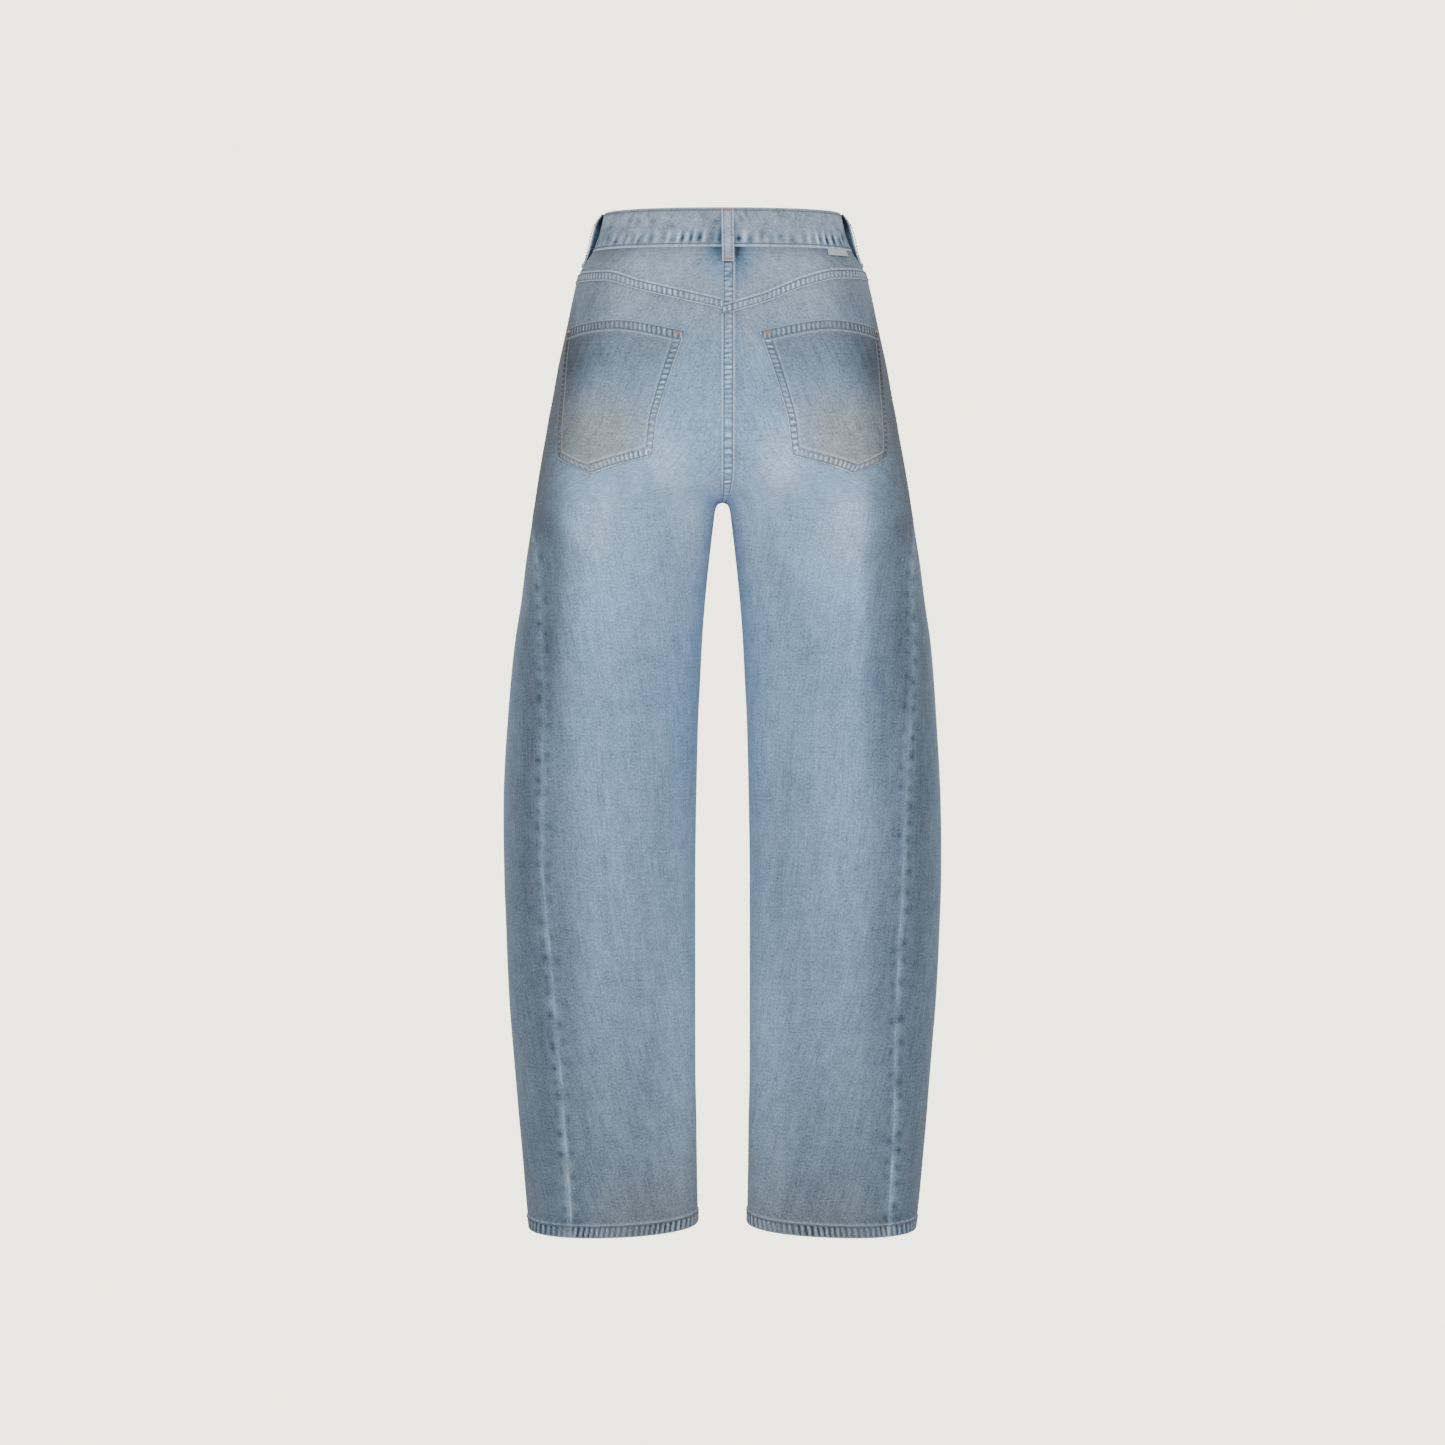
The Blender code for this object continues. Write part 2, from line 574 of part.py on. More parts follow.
def front_panel(side, cloth):
    mouth, depth = scoop_columns()
    plain = np.linspace(0.0, SCOOP_TURN, 10)[:-1]
    base = np.concatenate([plain, mouth])
    count = len(base)
    top = -BAND_HEIGHT - GAP - np.concatenate([np.zeros(len(plain)), depth])
    row = body_rows(top, 10, count)
    turn = np.zeros_like(row)
    for i in range(len(row)):
        seam = outseam_turn(row[i, -1:], side)[0]
        turn[i] = base * (seam / 0.5)
    turn[:, 0] = part_at_inseam(row[:, 0], turn[:, 0], GAP / 2)
    turn[:, -1] = seam_shift(row[:, -1], turn[:, -1], -GAP / 2)
    lift = hem_lift(row)
    return wall(side_name("front", side), row, turn, lift, WALL + 2 * lift, side, cloth)


def pocket_facing(side, cloth):
    mouth, depth = scoop_columns()
    reach = (SCOOP_DEPTH + FACING_MARGIN) / SCOOP_DEPTH
    wide = 0.5 - (0.5 - SCOOP_TURN) * (1 + FACING_MARGIN / 95.0)
    turns = np.concatenate([[wide + 0.012], mouth])
    scaled = (0.5 - turns) / (0.5 - wide)
    low = -BAND_HEIGHT - GAP - reach * SCOOP_DEPTH * np.sqrt(np.maximum(1 - scaled**2, 0.0))
    share = np.linspace(0.0, 1.0, 9)[:, None]
    row = (-BAND_HEIGHT - 2 * GAP) * (1 - share) + low[None, :] * share
    turn = np.repeat(turns[None, :], len(row), axis=0)
    turn[:, -1] = seam_shift(row[:, -1], turn[:, -1], -GAP)
    return wall(side_name("pocket_facing", side), row, turn, FACING_OUT, FACING_WALL, side, cloth)


def back_pocket(side, cloth):
    point = POCKET_END["across"][1]
    across = np.concatenate([np.linspace(0.0, point, 10), np.linspace(point, 1.0, 6)[1:]])
    down = np.linspace(0.0, 1.0, 14)
    row = np.zeros((len(down), len(across)))
    distance = np.zeros_like(row)
    top = smooth(POCKET_TOP["across"], POCKET_TOP["row"], across)
    end = np.interp(across, POCKET_END["across"], POCKET_END["row"])
    for i, share in enumerate(down):
        inner = float(smooth(POCKET["edge_height"], POCKET["inner"], share))
        outer = float(smooth(POCKET["edge_height"], POCKET["outer"], share))
        row[i] = top * (1 - share) + end * share
        distance[i] = inner + (outer - inner) * across
    turn = turn_at(row, distance)
    return wall(side_name("pocket_back", side), row, turn, POCKET_LIFT + POCKET_WALL,
                POCKET_WALL, side, cloth)


def waistband(cloth):
    """One strip whose left end laps over its right end at the centre front."""
    lap = 0.045
    turn = np.concatenate([np.linspace(-lap, 0.0, 4), np.linspace(0.0, 1.0, 37)[1:],
                           1 + np.linspace(0.0, 1.0 - 0.13, 32)[1:],
                           1 + np.linspace(0.88, 1.0, 7), [2.03, 2.06]])
    row = np.array([0.0, -2.0, -13.0, -26.0, -BAND_HEIGHT])[:, None]
    row = np.repeat(row, len(turn), axis=1)
    under = ramp((turn - (2 - 0.125)) / 0.065) * (BAND_WALL + GAP)
    out = BAND_OUT - under[None, :] - np.where(row > -1.0, 0.5, 0.0)
    thickness = BAND_WALL - np.where(row > -1.0, 1.0, 0.0)
    turn = np.repeat(turn[None, :], len(row), axis=0)
    outer = around(row, turn, out)
    inner = around(row, turn, out - thickness)
    return solid("waistband", outer, inner, 1, cloth)


def around(row, turn, lift):
    """Point on the whole ring: turns 0 to 1 on the left, 1 to 2 on the right."""
    past = turn > 2
    folded = np.where(turn < 0, -turn, np.where(turn <= 1, turn, np.where(past, turn - 2, 2 - turn)))
    mirrored = (turn < 0) | ((turn > 1) & ~past)
    point = lifted(row, folded, lift)
    point[..., 0] = np.where(mirrored, -point[..., 0], point[..., 0])
    return point


def strip(name, centre_turn, table, side, cloth):
    """A belt loop across the waistband, standing off it in the middle."""
    rows = np.array(table["row"])
    lift = np.array(table["lift"])
    row = np.repeat(rows[:, None], 3, axis=1)
    turn = np.zeros_like(row)
    near = min(max(centre_turn, 0.05), 0.95)
    ahead = between(LENGTHS, rows, np.full(len(rows), near + 0.05))
    behind = between(LENGTHS, rows, np.full(len(rows), near - 0.05))
    for j, offset in enumerate([-LOOP_WIDTH / 2, 0.0, LOOP_WIDTH / 2]):
        turn[:, j] = centre_turn + offset * 0.1 / (ahead - behind)
    outer = around(row, turn, np.repeat(lift[:, None] + LOOP_WALL, 3, axis=1))
    inner = around(row, turn, np.repeat(lift[:, None], 3, axis=1))
    return solid(name, outer, inner, side, cloth)


def label_tab(cloth):
    rows = np.array([-BAND_HEIGHT - 0.6, -BAND_HEIGHT - 4.0, -BAND_HEIGHT - 7.5])
    row = np.repeat(rows[:, None], 4, axis=1)
    centre = turn_at(rows, LABEL_FROM_BACK)
    turn = np.zeros_like(row)
    for j, offset in enumerate(np.linspace(-LABEL_WIDTH / 2, LABEL_WIDTH / 2, 4)):
        turn[:, j] = seam_shift(rows, centre, offset)
    lift = np.repeat(np.array([0.5, 0.7, 1.0])[:, None], 4, axis=1)
    return wall("label_tab", row, turn, lift + 0.9, 0.9, -1, cloth)


def fly_shield(cloth):
    rows = np.linspace(-BAND_HEIGHT - 2 * GAP, -BAND_HEIGHT - FLY_LENGTH, 8)
    distances = np.linspace(-FLY_RIGHT, FLY_LEFT, 5)
    row = np.repeat(rows[:, None], len(distances), axis=1)
    turn = np.zeros_like(row)
    speed = between(LENGTHS, rows, np.full(len(rows), 0.1)) / 0.1
    for j, distance in enumerate(distances):
        turn[:, j] = distance / speed
    rounding = np.linspace(0, 1, len(rows))[:, None] ** 3
    turn = turn * (1 - 0.35 * rounding)
    outer = around(row, turn, np.full(row.shape, -WALL - 0.6))
    inner = around(row, turn, np.full(row.shape, -WALL - 0.6 - 1.2))
    return solid("fly_shield", outer, inner, 1, cloth)


def button(metal):
    """Shank button on the lapped waistband."""
    profile = [(0.0, 0.5), (4.2, 0.5), (4.2, 1.7), (7.9, 2.0), (8.5, 2.8), (8.3, 3.6), (7.3, 4.1),
               (6.4, 3.9), (5.6, 3.7), (0.0, 3.6)]
    point = lifted(np.array([-19.0]), np.array([0.0]), np.array([BAND_OUT]))[0]
    low = lifted(np.array([-28.0]), np.array([0.0]), np.array([BAND_OUT]))[0]
    high = lifted(np.array([-10.0]), np.array([0.0]), np.array([BAND_OUT]))[0]
    up = (high - low) / np.linalg.norm(high - low)
    right = np.array([1.0, 0.0, 0.0])
    out = np.cross(right, up)
    centre = np.array([0.0, point[1], point[2]])
    segments = 28
    points = []
    faces = []
    rings = profile[1:-1]
    for radius, height in rings:
        for k in range(segments):
            turn = 2 * math.pi * k / segments
            points.append(centre + out * height + radius * (right * math.cos(turn) + up * math.sin(turn)))
    points.append(centre + out * profile[0][1])
    points.append(centre + out * profile[-1][1])
    first = len(points) - 2
    last = len(points) - 1
    for k in range(segments):
        after = (k + 1) % segments
        faces.append([first, after, k])
        for i in range(len(rings) - 1):
            low_ring = i * segments
            high_ring = (i + 1) * segments
            faces.append([low_ring + k, low_ring + after, high_ring + after, high_ring + k])
        top = (len(rings) - 1) * segments
        faces.append([last, top + k, top + after])
    mesh = bpy.data.meshes.new("button")
    mesh.from_pydata([tuple(p / 1000.0) for p in points], [], faces)
    shape = bmesh.new()
    shape.from_mesh(mesh)
    bmesh.ops.recalc_face_normals(shape, faces=shape.faces)
    bmesh.ops.triangulate(shape, faces=shape.faces)
    shape.to_mesh(mesh)
    shape.free()
    mesh.materials.append(metal)
    made = bpy.data.objects.new("button", mesh)
    COLLECTION.objects.link(made)


def side_name(word, side):
    return word + ("_left" if side > 0 else "_right")


for old in list(bpy.data.objects):
    bpy.data.objects.remove(old, do_unlink=True)
COLLECTION = bpy.data.collections.new("jeans")
bpy.context.scene.collection.children.link(COLLECTION)

DENIM = material("denim", (0.30, 0.38, 0.46), 0.0, 0.85)
LABEL = material("label_cloth", (0.55, 0.52, 0.48), 0.0, 0.8)
METAL = material("button_metal", (0.45, 0.36, 0.26), 1.0, 0.4)

waistband(DENIM)
for hand in (1, -1):
    yoke(hand, DENIM)
    back_panel(hand, DENIM)
    front_panel(hand, DENIM)
    pocket_facing(hand, DENIM)
    back_pocket(hand, DENIM)
    strip(side_name("loop_side", hand), 0.5, SIDE_LOOP, hand, DENIM)
    strip(side_name("loop_front", hand), FRONT_LOOP_TURN, FRONT_LOOP, hand, DENIM)
back_length = float(LENGTHS[0, -1] - LENGTHS[0, -25]) * 10.0
strip("loop_back", 1.0 + BACK_LOOP_AT / back_length, BACK_LOOP, 1, DENIM)
label_tab(LABEL)
fly_shield(DENIM)
button(METAL)
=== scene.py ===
"""Looks of the wide barrel-leg jeans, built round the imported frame.

Sizes are in millimetres up to the mesh step, which writes metres. The cloth is worked
out on the same surface over (row, turn) as the solids, at the size of its stitches.
"""

import math

import bpy
import numpy as np
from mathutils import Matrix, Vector


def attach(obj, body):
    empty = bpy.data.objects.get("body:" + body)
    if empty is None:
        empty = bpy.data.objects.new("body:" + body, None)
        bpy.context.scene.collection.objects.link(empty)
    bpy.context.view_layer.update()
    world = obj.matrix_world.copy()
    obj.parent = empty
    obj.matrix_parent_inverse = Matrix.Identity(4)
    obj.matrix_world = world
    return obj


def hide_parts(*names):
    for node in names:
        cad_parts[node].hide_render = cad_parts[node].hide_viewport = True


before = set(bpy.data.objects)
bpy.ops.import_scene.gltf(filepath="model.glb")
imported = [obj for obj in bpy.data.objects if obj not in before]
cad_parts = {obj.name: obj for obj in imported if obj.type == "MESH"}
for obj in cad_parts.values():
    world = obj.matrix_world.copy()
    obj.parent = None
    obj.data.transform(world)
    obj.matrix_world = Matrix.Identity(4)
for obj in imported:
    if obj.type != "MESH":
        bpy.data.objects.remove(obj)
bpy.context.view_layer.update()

WALL = 1.5              # cloth thickness
GAP = 0.3               # between pieces at a seam
HEM_HEIGHT = 13.0
HEM_EXTRA = 0.55        # the turned hem stands out by this on each face
BAND_HEIGHT = 40.4
BAND_OUT = 0.8          # the waistband stands out from the panels
BAND_WALL = 3.0
FELL_RISE = 0.8         # height of a felled seam over the panel
FELL_YOKE = 9.5         # width of the felled yoke seam
FELL_BACK = 12.0        # width of the felled centre back seam

BEND_ROW = -215.0       # below this row the ends follow the rise curve
CROTCH_ROW = -300.0
BLEND_ROW = -175.0      # the loops start to turn from pelvis to leg here
CUT_SHARE = 0.93        # how far out on the leg loop the rise curve may cut it
EASE_SPAN = 60.0
EASE_TIMES = 60
CROTCH_Y = 14.0
HEM_ROW = -1061.0
RISE_ROUND = 2.4
ARCH_RADIUS = 8.0
ARCH_POWER = 2.5
FRONT_DIP = 12.0        # the waist is lower at the centre front
BACK_LIFT = -0.3
VALLEY_WIDTH = 24.0
HEM_TILT = 6.0          # the hem is higher at the inseam and lower at the back

# Upper half: one row for each level.
PELVIS = {
    "row":        [0, -10, -20, -31, -42, -50, -59, -71, -88, -109, -130, -151, -172, -193, -214,
                   -235, -256, -277, -300],
    "half_width": [122.5, 124.5, 127, 130.5, 136, 141.5, 147, 151.5, 155.6, 160, 164.5, 169.3, 173.4,
                   177.1, 181.3, 184.6, 189, 192.4, 196],
    "front":      [-95, -95.6, -96.3, -97, -98, -98.7, -99.5, -100.5, -102, -103.6, -105, -106, -107,
                   -107.7, -108, -108, -108, -108, -108],
    "back":       [91, 92.5, 94.5, 97, 100, 102, 104.5, 108, 112, 117, 121, 124.5, 127, 128.5, 129,
                   129, 129, 129, 129],
    "valley":     [0, 0, 0, 0, 0.5, 1, 1.5, 2, 2.5, 3, 3.4, 3.7, 4, 4, 4, 4, 4, 4, 4],
    "round":      [2.25, 2.25, 2.25, 2.26, 2.28, 2.3, 2.32, 2.34, 2.36, 2.38, 2.4, 2.4, 2.4, 2.4, 2.4,
                   2.4, 2.4, 2.4, 2.4],
}

# Legs: one row for each level, the widths measured from the middle of the garment.
LEG = {
    "row":        [-175, -300, -325, -360, -402, -444, -486, -528, -570, -612, -654, -696, -738, -780,
                   -822, -864, -905, -947, -989, -1031, -1061],
    "half_width": [174, 196, 199.5, 205.2, 210.6, 217, 221.3, 224.5, 227.4, 229.3, 229.7, 229.3, 227.8,
                   226.2, 224.2, 221.2, 218, 214.7, 210.8, 207, 203.8],
    "inner":      [0, 0, 6.3, 12, 16.8, 20.2, 22.4, 24.6, 25.8, 26.7, 27.4, 27.8, 27.8, 27.8, 27.8,
                   27.8, 27.6, 26.7, 26.2, 25.6, 25],
    "front":      [-106, -103, -101, -98, -94.5, -91, -88.5, -86.5, -85, -83.5, -82, -80.5, -78.5, -76,
                   -73, -69.5, -66, -62, -58, -54, -51],
    "back":       [120, 112, 109, 104, 98.5, 93.5, 89, 84.5, 80.5, 77, 74, 71.5, 69, 67, 65,
                   63, 61.5, 60, 58.5, 57, 56],
    "middle":     [14, 14, 12, 9, 6, 3, 0, -2, -3, -4, -4, -4, -4, -3, -2, -1, 0, 1, 2, 3, 3],
    "side":       [0, 0, 0, 0, 0, 0, -1, -2, -3, -4, -4, -4, -4, -3, -2, -1, 0, 1, 2, 3, 3],
    "round":      [2.7, 2.8, 2.75, 2.65, 2.5, 2.4, 2.3, 2.25, 2.2, 2.2, 2.2, 2.2, 2.2, 2.2, 2.2,
                   2.2, 2.2, 2.2, 2.2, 2.2, 2.2],
}

# Lower edge of the yoke, by turn from the side to the centre back.
YOKE_EDGE = {
    "turn":  [0.5, 0.6, 0.7, 0.8, 0.9, 1.0],
    "left":  [-73.5, -72.8, -73.5, -84, -94, -104],
    "right": [-70.5, -70.3, -71.5, -80.5, -97, -110],
}

# How far the outseam swings to the back of the side line, along the cloth.
OUTSEAM = {
    "row":   [-1061, -1011, -931, -852, -771, -691, -616, -552, -486, -420, -381, -350, -330, -315, -300,
              -285, 0],
    "left":  [72, 75.5, 79.5, 82.5, 84, 83, 86, 87, 85.5, 81, 75, 66, 46, 23, 6, 0, 0],
    "right": [55, 59, 65.5, 73.5, 79, 81.5, 82.5, 79, 75, 72.5, 69.5, 60, 42, 21, 5, 0, 0],
}

# Back pocket outline: distance from the centre back along the cloth, and height.
POCKET = {
    "edge_height": [0.0, 0.47, 0.8, 1.0],
    "inner":       [37.0, 56.0, 67.0, 71.5],
    "outer":       [190.0, 189.0, 185.5, 180.5],
}
POCKET_TOP = {"across": [0.0, 0.5, 1.0], "row": [-126.5, -114.5, -121.5]}
POCKET_END = {"across": [0.0, 0.66, 1.0], "row": [-242.5, -270.0, -255.0]}
POCKET_LIFT = 0.45
POCKET_WALL = 1.6

SCOOP_TURN = 0.285      # where the front pocket's mouth meets the waistband
SCOOP_DEPTH = 72.0
FACING_MARGIN = 24.0
FACING_OUT = -2.2
FACING_WALL = 1.2

FLY_LENGTH = 150.0
FLY_RIGHT = 30.0
FLY_LEFT = 10.0

LOOP_WIDTH = 12.0
LOOP_WALL = 1.7
BACK_LOOP_AT = 5.0      # the back loop sits this far to the wearer's right
BACK_LOOP = {
    "row":  [-1.0, -5.0, -10.0, -17.0, -25.0, -33.0, -40.0, -46.0, -51.0, -56.0],
    "lift": [1.15, 1.3, 2.6, 3.7, 3.9, 3.3, 2.4, 1.7, 1.3, 1.3],
}
FRONT_LOOP = {
    "row":  [-1.0, -5.0, -10.0, -17.0, -25.0, -33.0, -40.0, -46.0, -51.0, -56.0],
    "lift": [1.15, 1.3, 2.6, 3.7, 3.9, 3.1, 2.0, 1.0, 0.5, 0.5],
}
SIDE_LOOP = {
    "row":  [-1.0, -4.0, -9.0, -16.0, -24.0, -33.0, -41.0, -47.0, -51.0, -56.0],
    "lift": [1.15, 1.7, 4.8, 7.0, 7.3, 6.2, 4.1, 1.9, 0.5, 0.4],
}
FRONT_LOOP_TURN = 0.225
LABEL_FROM_BACK = 130.0
LABEL_WIDTH = 32.0

LATTICE = 2.5           # row spacing of the base surface
TURNS = 240


def smooth(xs, ys, x):
    """Monotone cubic through a table's column, with xs rising."""
    xs = np.asarray(xs, float)
    ys = np.asarray(ys, float)
    if xs[0] > xs[-1]:
        xs = xs[::-1]
        ys = ys[::-1]
    step = np.diff(xs)
    slope = np.diff(ys) / step
    ahead = 2 * step[1:] + step[:-1]
    behind = step[1:] + 2 * step[:-1]
    same = slope[1:] * slope[:-1] > 0
    safe_low = np.where(same, slope[:-1], 1.0)
    safe_high = np.where(same, slope[1:], 1.0)
    inner = np.where(same, (ahead + behind) / (ahead / safe_low + behind / safe_high), 0.0)
    tangent = np.concatenate([[slope[0]], inner, [slope[-1]]])
    x = np.clip(np.asarray(x, float), xs[0], xs[-1])
    at = np.clip(np.searchsorted(xs, x, side="right") - 1, 0, len(xs) - 2)
    s = (x - xs[at]) / step[at]
    low = ys[at] * (2 * s**3 - 3 * s**2 + 1) + ys[at + 1] * (3 * s**2 - 2 * s**3)
    bend = tangent[at] * (s**3 - 2 * s**2 + s) + tangent[at + 1] * (s**3 - s**2)
    return low + step[at] * bend


def read(table, column, row):
    return float(smooth(table["row"], table[column], row))


def ramp(x):
    x = np.clip(x, 0.0, 1.0)
    return x * x * (3 - 2 * x)


def by_length(x, y, half, turn):
    """Points at each turn along a curve, the turn 0.5 being the sample half."""
    along = np.concatenate([[0.0], np.cumsum(np.hypot(np.diff(x), np.diff(y)))])
    front = along[half]
    back = along[-1] - front
    share = np.where(along <= front, 0.5 * along / front, 0.5 + 0.5 * (along - front) / back)
    return np.interp(turn, share, x), np.interp(turn, share, y)


def pelvis_loop(row, turn):
    width = read(PELVIS, "half_width", row)
    power = 2.0 / read(PELVIS, "round", row)
    front = read(PELVIS, "front", row)
    back = read(PELVIS, "back", row)
    angle = np.linspace(0.0, math.pi, 721)
    x = width * np.abs(np.sin(angle)) ** power
    across = np.abs(np.cos(angle)) ** power
    y = np.where(angle <= math.pi / 2, front * across, back * across)
    return by_length(x, y, 360, turn)


def leg_loop(row, turn):
    outer = read(LEG, "half_width", row)
    inner = read(LEG, "inner", row)
    power = 2.0 / read(LEG, "round", row)
    front = read(LEG, "front", row)
    back = read(LEG, "back", row)
    angle = np.linspace(0.0, 2 * math.pi, 961)
    cosine = np.cos(angle)
    sine = np.sin(angle)
    half = (outer - inner) / 2
    x = inner + half * (1 - np.sign(cosine) * np.abs(cosine) ** power)
    base = read(LEG, "middle", row) + (read(LEG, "side", row) - read(LEG, "middle", row)) * (
        (x - inner) / (outer - inner))
    reach = np.abs(sine) ** power
    y = base + np.where(sine >= 0, (front - base) * reach, (back - base) * reach)
    return by_length(x, y, 480, turn)


def outside_rise(y, z):
    """How far a point lies outside the rise curve, in the plane of the middle."""
    front = CROTCH_Y - read(PELVIS, "front", BEND_ROW)
    back = read(PELVIS, "back", BEND_ROW) - CROTCH_Y
    across = np.where(y < CROTCH_Y, (CROTCH_Y - y) / front, (y - CROTCH_Y) / back)
    down = np.maximum(BEND_ROW - z, 0.0) / (BEND_ROW - CROTCH_ROW)
    level = np.maximum(across**RISE_ROUND + down**RISE_ROUND, 1e-9) ** (1 / RISE_ROUND)
    radius = np.hypot(y - CROTCH_Y, np.minimum(z - BEND_ROW, 0.0))
    return np.where(z < BEND_ROW, np.maximum(radius - radius / level, 0.0), 0.0)


def rise_point(row):
    """The rise curve at a row: front and back distance, and height."""
    front = read(PELVIS, "front", row)
    back = read(PELVIS, "back", row)
    if row >= BEND_ROW:
        return front, back, row
    angle = (BEND_ROW - row) / (BEND_ROW - CROTCH_ROW) * math.pi / 2
    across = math.cos(angle) ** (2 / RISE_ROUND)
    height = BEND_ROW + (CROTCH_ROW - BEND_ROW) * math.sin(angle) ** (2 / RISE_ROUND)
    return CROTCH_Y + (front - CROTCH_Y) * across, CROTCH_Y + (back - CROTCH_Y) * across, height


def joined_loop(row, turn, ends):
    """Half loop above the crotch: a pelvis loop that turns into a leg loop cut off at
    the rise curve."""
    front, back, height = rise_point(row)
    px, py = pelvis_loop(row, turn)
    share = float(ramp((BLEND_ROW - row) / (BLEND_ROW - CROTCH_ROW)))
    if share > 0:
        fine = np.linspace(0.0, 1.0, 961)
        lx, ly = leg_loop(row, fine)
        deep = max(front, CROTCH_Y + CUT_SHARE * (ly.min() - CROTCH_Y))
        far = min(back, CROTCH_Y + CUT_SHARE * (ly.max() - CROTCH_Y))
        start = float(np.interp(-deep, -ly[:200], fine[:200]))
        end = float(np.interp(-far, -ly[760:], fine[760:]))
        used = start + (end - start) * turn
        cx = np.interp(used, fine, lx)
        cy = np.interp(used, fine, ly)
        near_front = ramp(1 - turn / 0.3) * cx[0]
        near_back = ramp(1 - (1 - turn) / 0.3) * cx[-1]
        px = (1 - share) * px + share * (cx - near_front - near_back)
        py = (1 - share) * py + share * cy
    py = py + (front - py[0]) * np.exp(-((turn / 0.1) ** 2))
    py = py + (back - py[-1]) * np.exp(-(((1 - turn) / 0.1) ** 2))
    return px, py, row + (height - row) * ends**4


def eased(rows, turn, grid):
    """Averages neighbouring rows round the crotch, away from the seam itself."""
    near = ramp((EASE_SPAN - np.abs(rows - CROTCH_ROW)) / 20.0)[:, None, None]
    off_seam = ramp((np.minimum(turn, 1 - turn) - 0.012) / 0.06)[None, :, None]
    weight = near * off_seam
    for _ in range(EASE_TIMES):
        middle = (grid[:-2] + 2 * grid[1:-1] + grid[2:]) / 4
        grid = grid.copy()
        grid[1:-1] = grid[1:-1] * (1 - weight[1:-1]) + middle * weight[1:-1]
    return grid


def base_surface():
    """Points and outward normals of the left half over (row, turn)."""
    rows = np.arange(LATTICE, HEM_ROW - 2 * LATTICE, -LATTICE)
    turn = np.linspace(0.0, 1.0, TURNS + 1)
    ends = np.cos(math.pi * turn) ** 2
    points = np.zeros((len(rows), len(turn), 3))
    for i, row in enumerate(rows):
        if row > CROTCH_ROW:
            x, y, z = joined_loop(row, turn, ends)
        else:
            x, y = leg_loop(row, turn)
            z = np.full_like(x, row)
        fade = 1 - ramp(-row / -BEND_ROW)
        z = z + fade * ends * np.where(turn < 0.5, -FRONT_DIP, BACK_LIFT)
        tilt = ramp((-850.0 - row) / 200.0) * HEM_TILT
        reach = (x - x.min()) / (x.max() - x.min())
        z = z + tilt * (1 - reach) - tilt * y / 55.0
        depth = read(PELVIS, "valley", row) * np.exp(-((x / VALLEY_WIDTH) ** 2))
        y = y - np.where((turn > 0.5) & (row > CROTCH_ROW), depth, 0.0)
        away = np.minimum(outside_rise(y, z), ARCH_RADIUS)
        arch = np.sqrt(np.maximum(ARCH_RADIUS**2 - (ARCH_RADIUS - away) ** 2, 0.0))
        x = (np.maximum(x, 0.0) ** ARCH_POWER + arch**ARCH_POWER) ** (1 / ARCH_POWER)
        points[i, :, 0] = x + GAP / 2
        points[i, :, 1] = y
        points[i, :, 2] = z
    points = eased(rows, turn, points)
    along = np.gradient(points, axis=1)
    upward = -np.gradient(points, axis=0)
    normals = eased(rows, turn, np.cross(along, upward))
    legs = rows < CROTCH_ROW
    for edge, sign in ((0, 1), (-1, -1)):
        down = np.gradient(points[~legs, edge], axis=0)
        normals[~legs, edge, 0] = 0.0
        normals[~legs, edge, 1] = sign * down[:, 2]
        normals[~legs, edge, 2] = -sign * down[:, 1]
    at_crotch = np.argmin(np.abs(rows - CROTCH_ROW))
    normals[at_crotch, 0] = (0, 0, -1)
    normals[at_crotch, -1] = (0, 0, -1)
    normals = normals / np.linalg.norm(normals, axis=2, keepdims=True)
    closed = normals[legs, 0] + normals[legs, -1]
    closed = closed / np.linalg.norm(closed, axis=1, keepdims=True)
    normals[legs, 0] = closed
    normals[legs, -1] = closed
    return rows, points, normals


ROWS, POINTS, NORMALS = base_surface()
LENGTHS = np.concatenate(
    [np.zeros((len(ROWS), 1)),
     np.cumsum(np.linalg.norm(np.diff(POINTS, axis=1), axis=2), axis=1)], axis=1)


def between(grid, row, turn):
    """Value of a base grid at rows and turns."""
    i = np.clip((ROWS[0] - row) / LATTICE, 0, len(ROWS) - 1.001)
    j = np.clip(turn * TURNS, 0, TURNS - 0.001)
    i0 = i.astype(int)
    j0 = j.astype(int)
    di = i - i0
    dj = j - j0
    if grid.ndim == 3:
        di = di[..., None]
        dj = dj[..., None]
    low = grid[i0, j0] * (1 - dj) + grid[i0, j0 + 1] * dj
    high = grid[i0 + 1, j0] * (1 - dj) + grid[i0 + 1, j0 + 1] * dj
    return low * (1 - di) + high * di


def turn_at(row, from_back):
    """Turn at a distance along the cloth from the centre back or inseam."""
    row = np.asarray(row, float)
    total = between(LENGTHS, row, np.ones_like(row))
    wanted = total - from_back
    low = np.zeros_like(row)
    high = np.ones_like(row)
    for _ in range(24):
        middle = (low + high) / 2
        short = between(LENGTHS, row, middle) < wanted
        low = np.where(short, middle, low)
        high = np.where(short, high, middle)
    return (low + high) / 2


def outseam_turn(row, side):
    """Turn of the outseam at a row."""
    row = np.asarray(row, float)
    column = "left" if side > 0 else "right"
    swing = smooth(OUTSEAM["row"], OUTSEAM[column], row)
    total = between(LENGTHS, row, np.ones_like(row))
    to_side = total - between(LENGTHS, row, np.full_like(row, 0.5))
    return turn_at(row, to_side - swing)


def yoke_row(turn, side):
    column = "left" if side > 0 else "right"
    return smooth(YOKE_EDGE["turn"], YOKE_EDGE[column], turn)


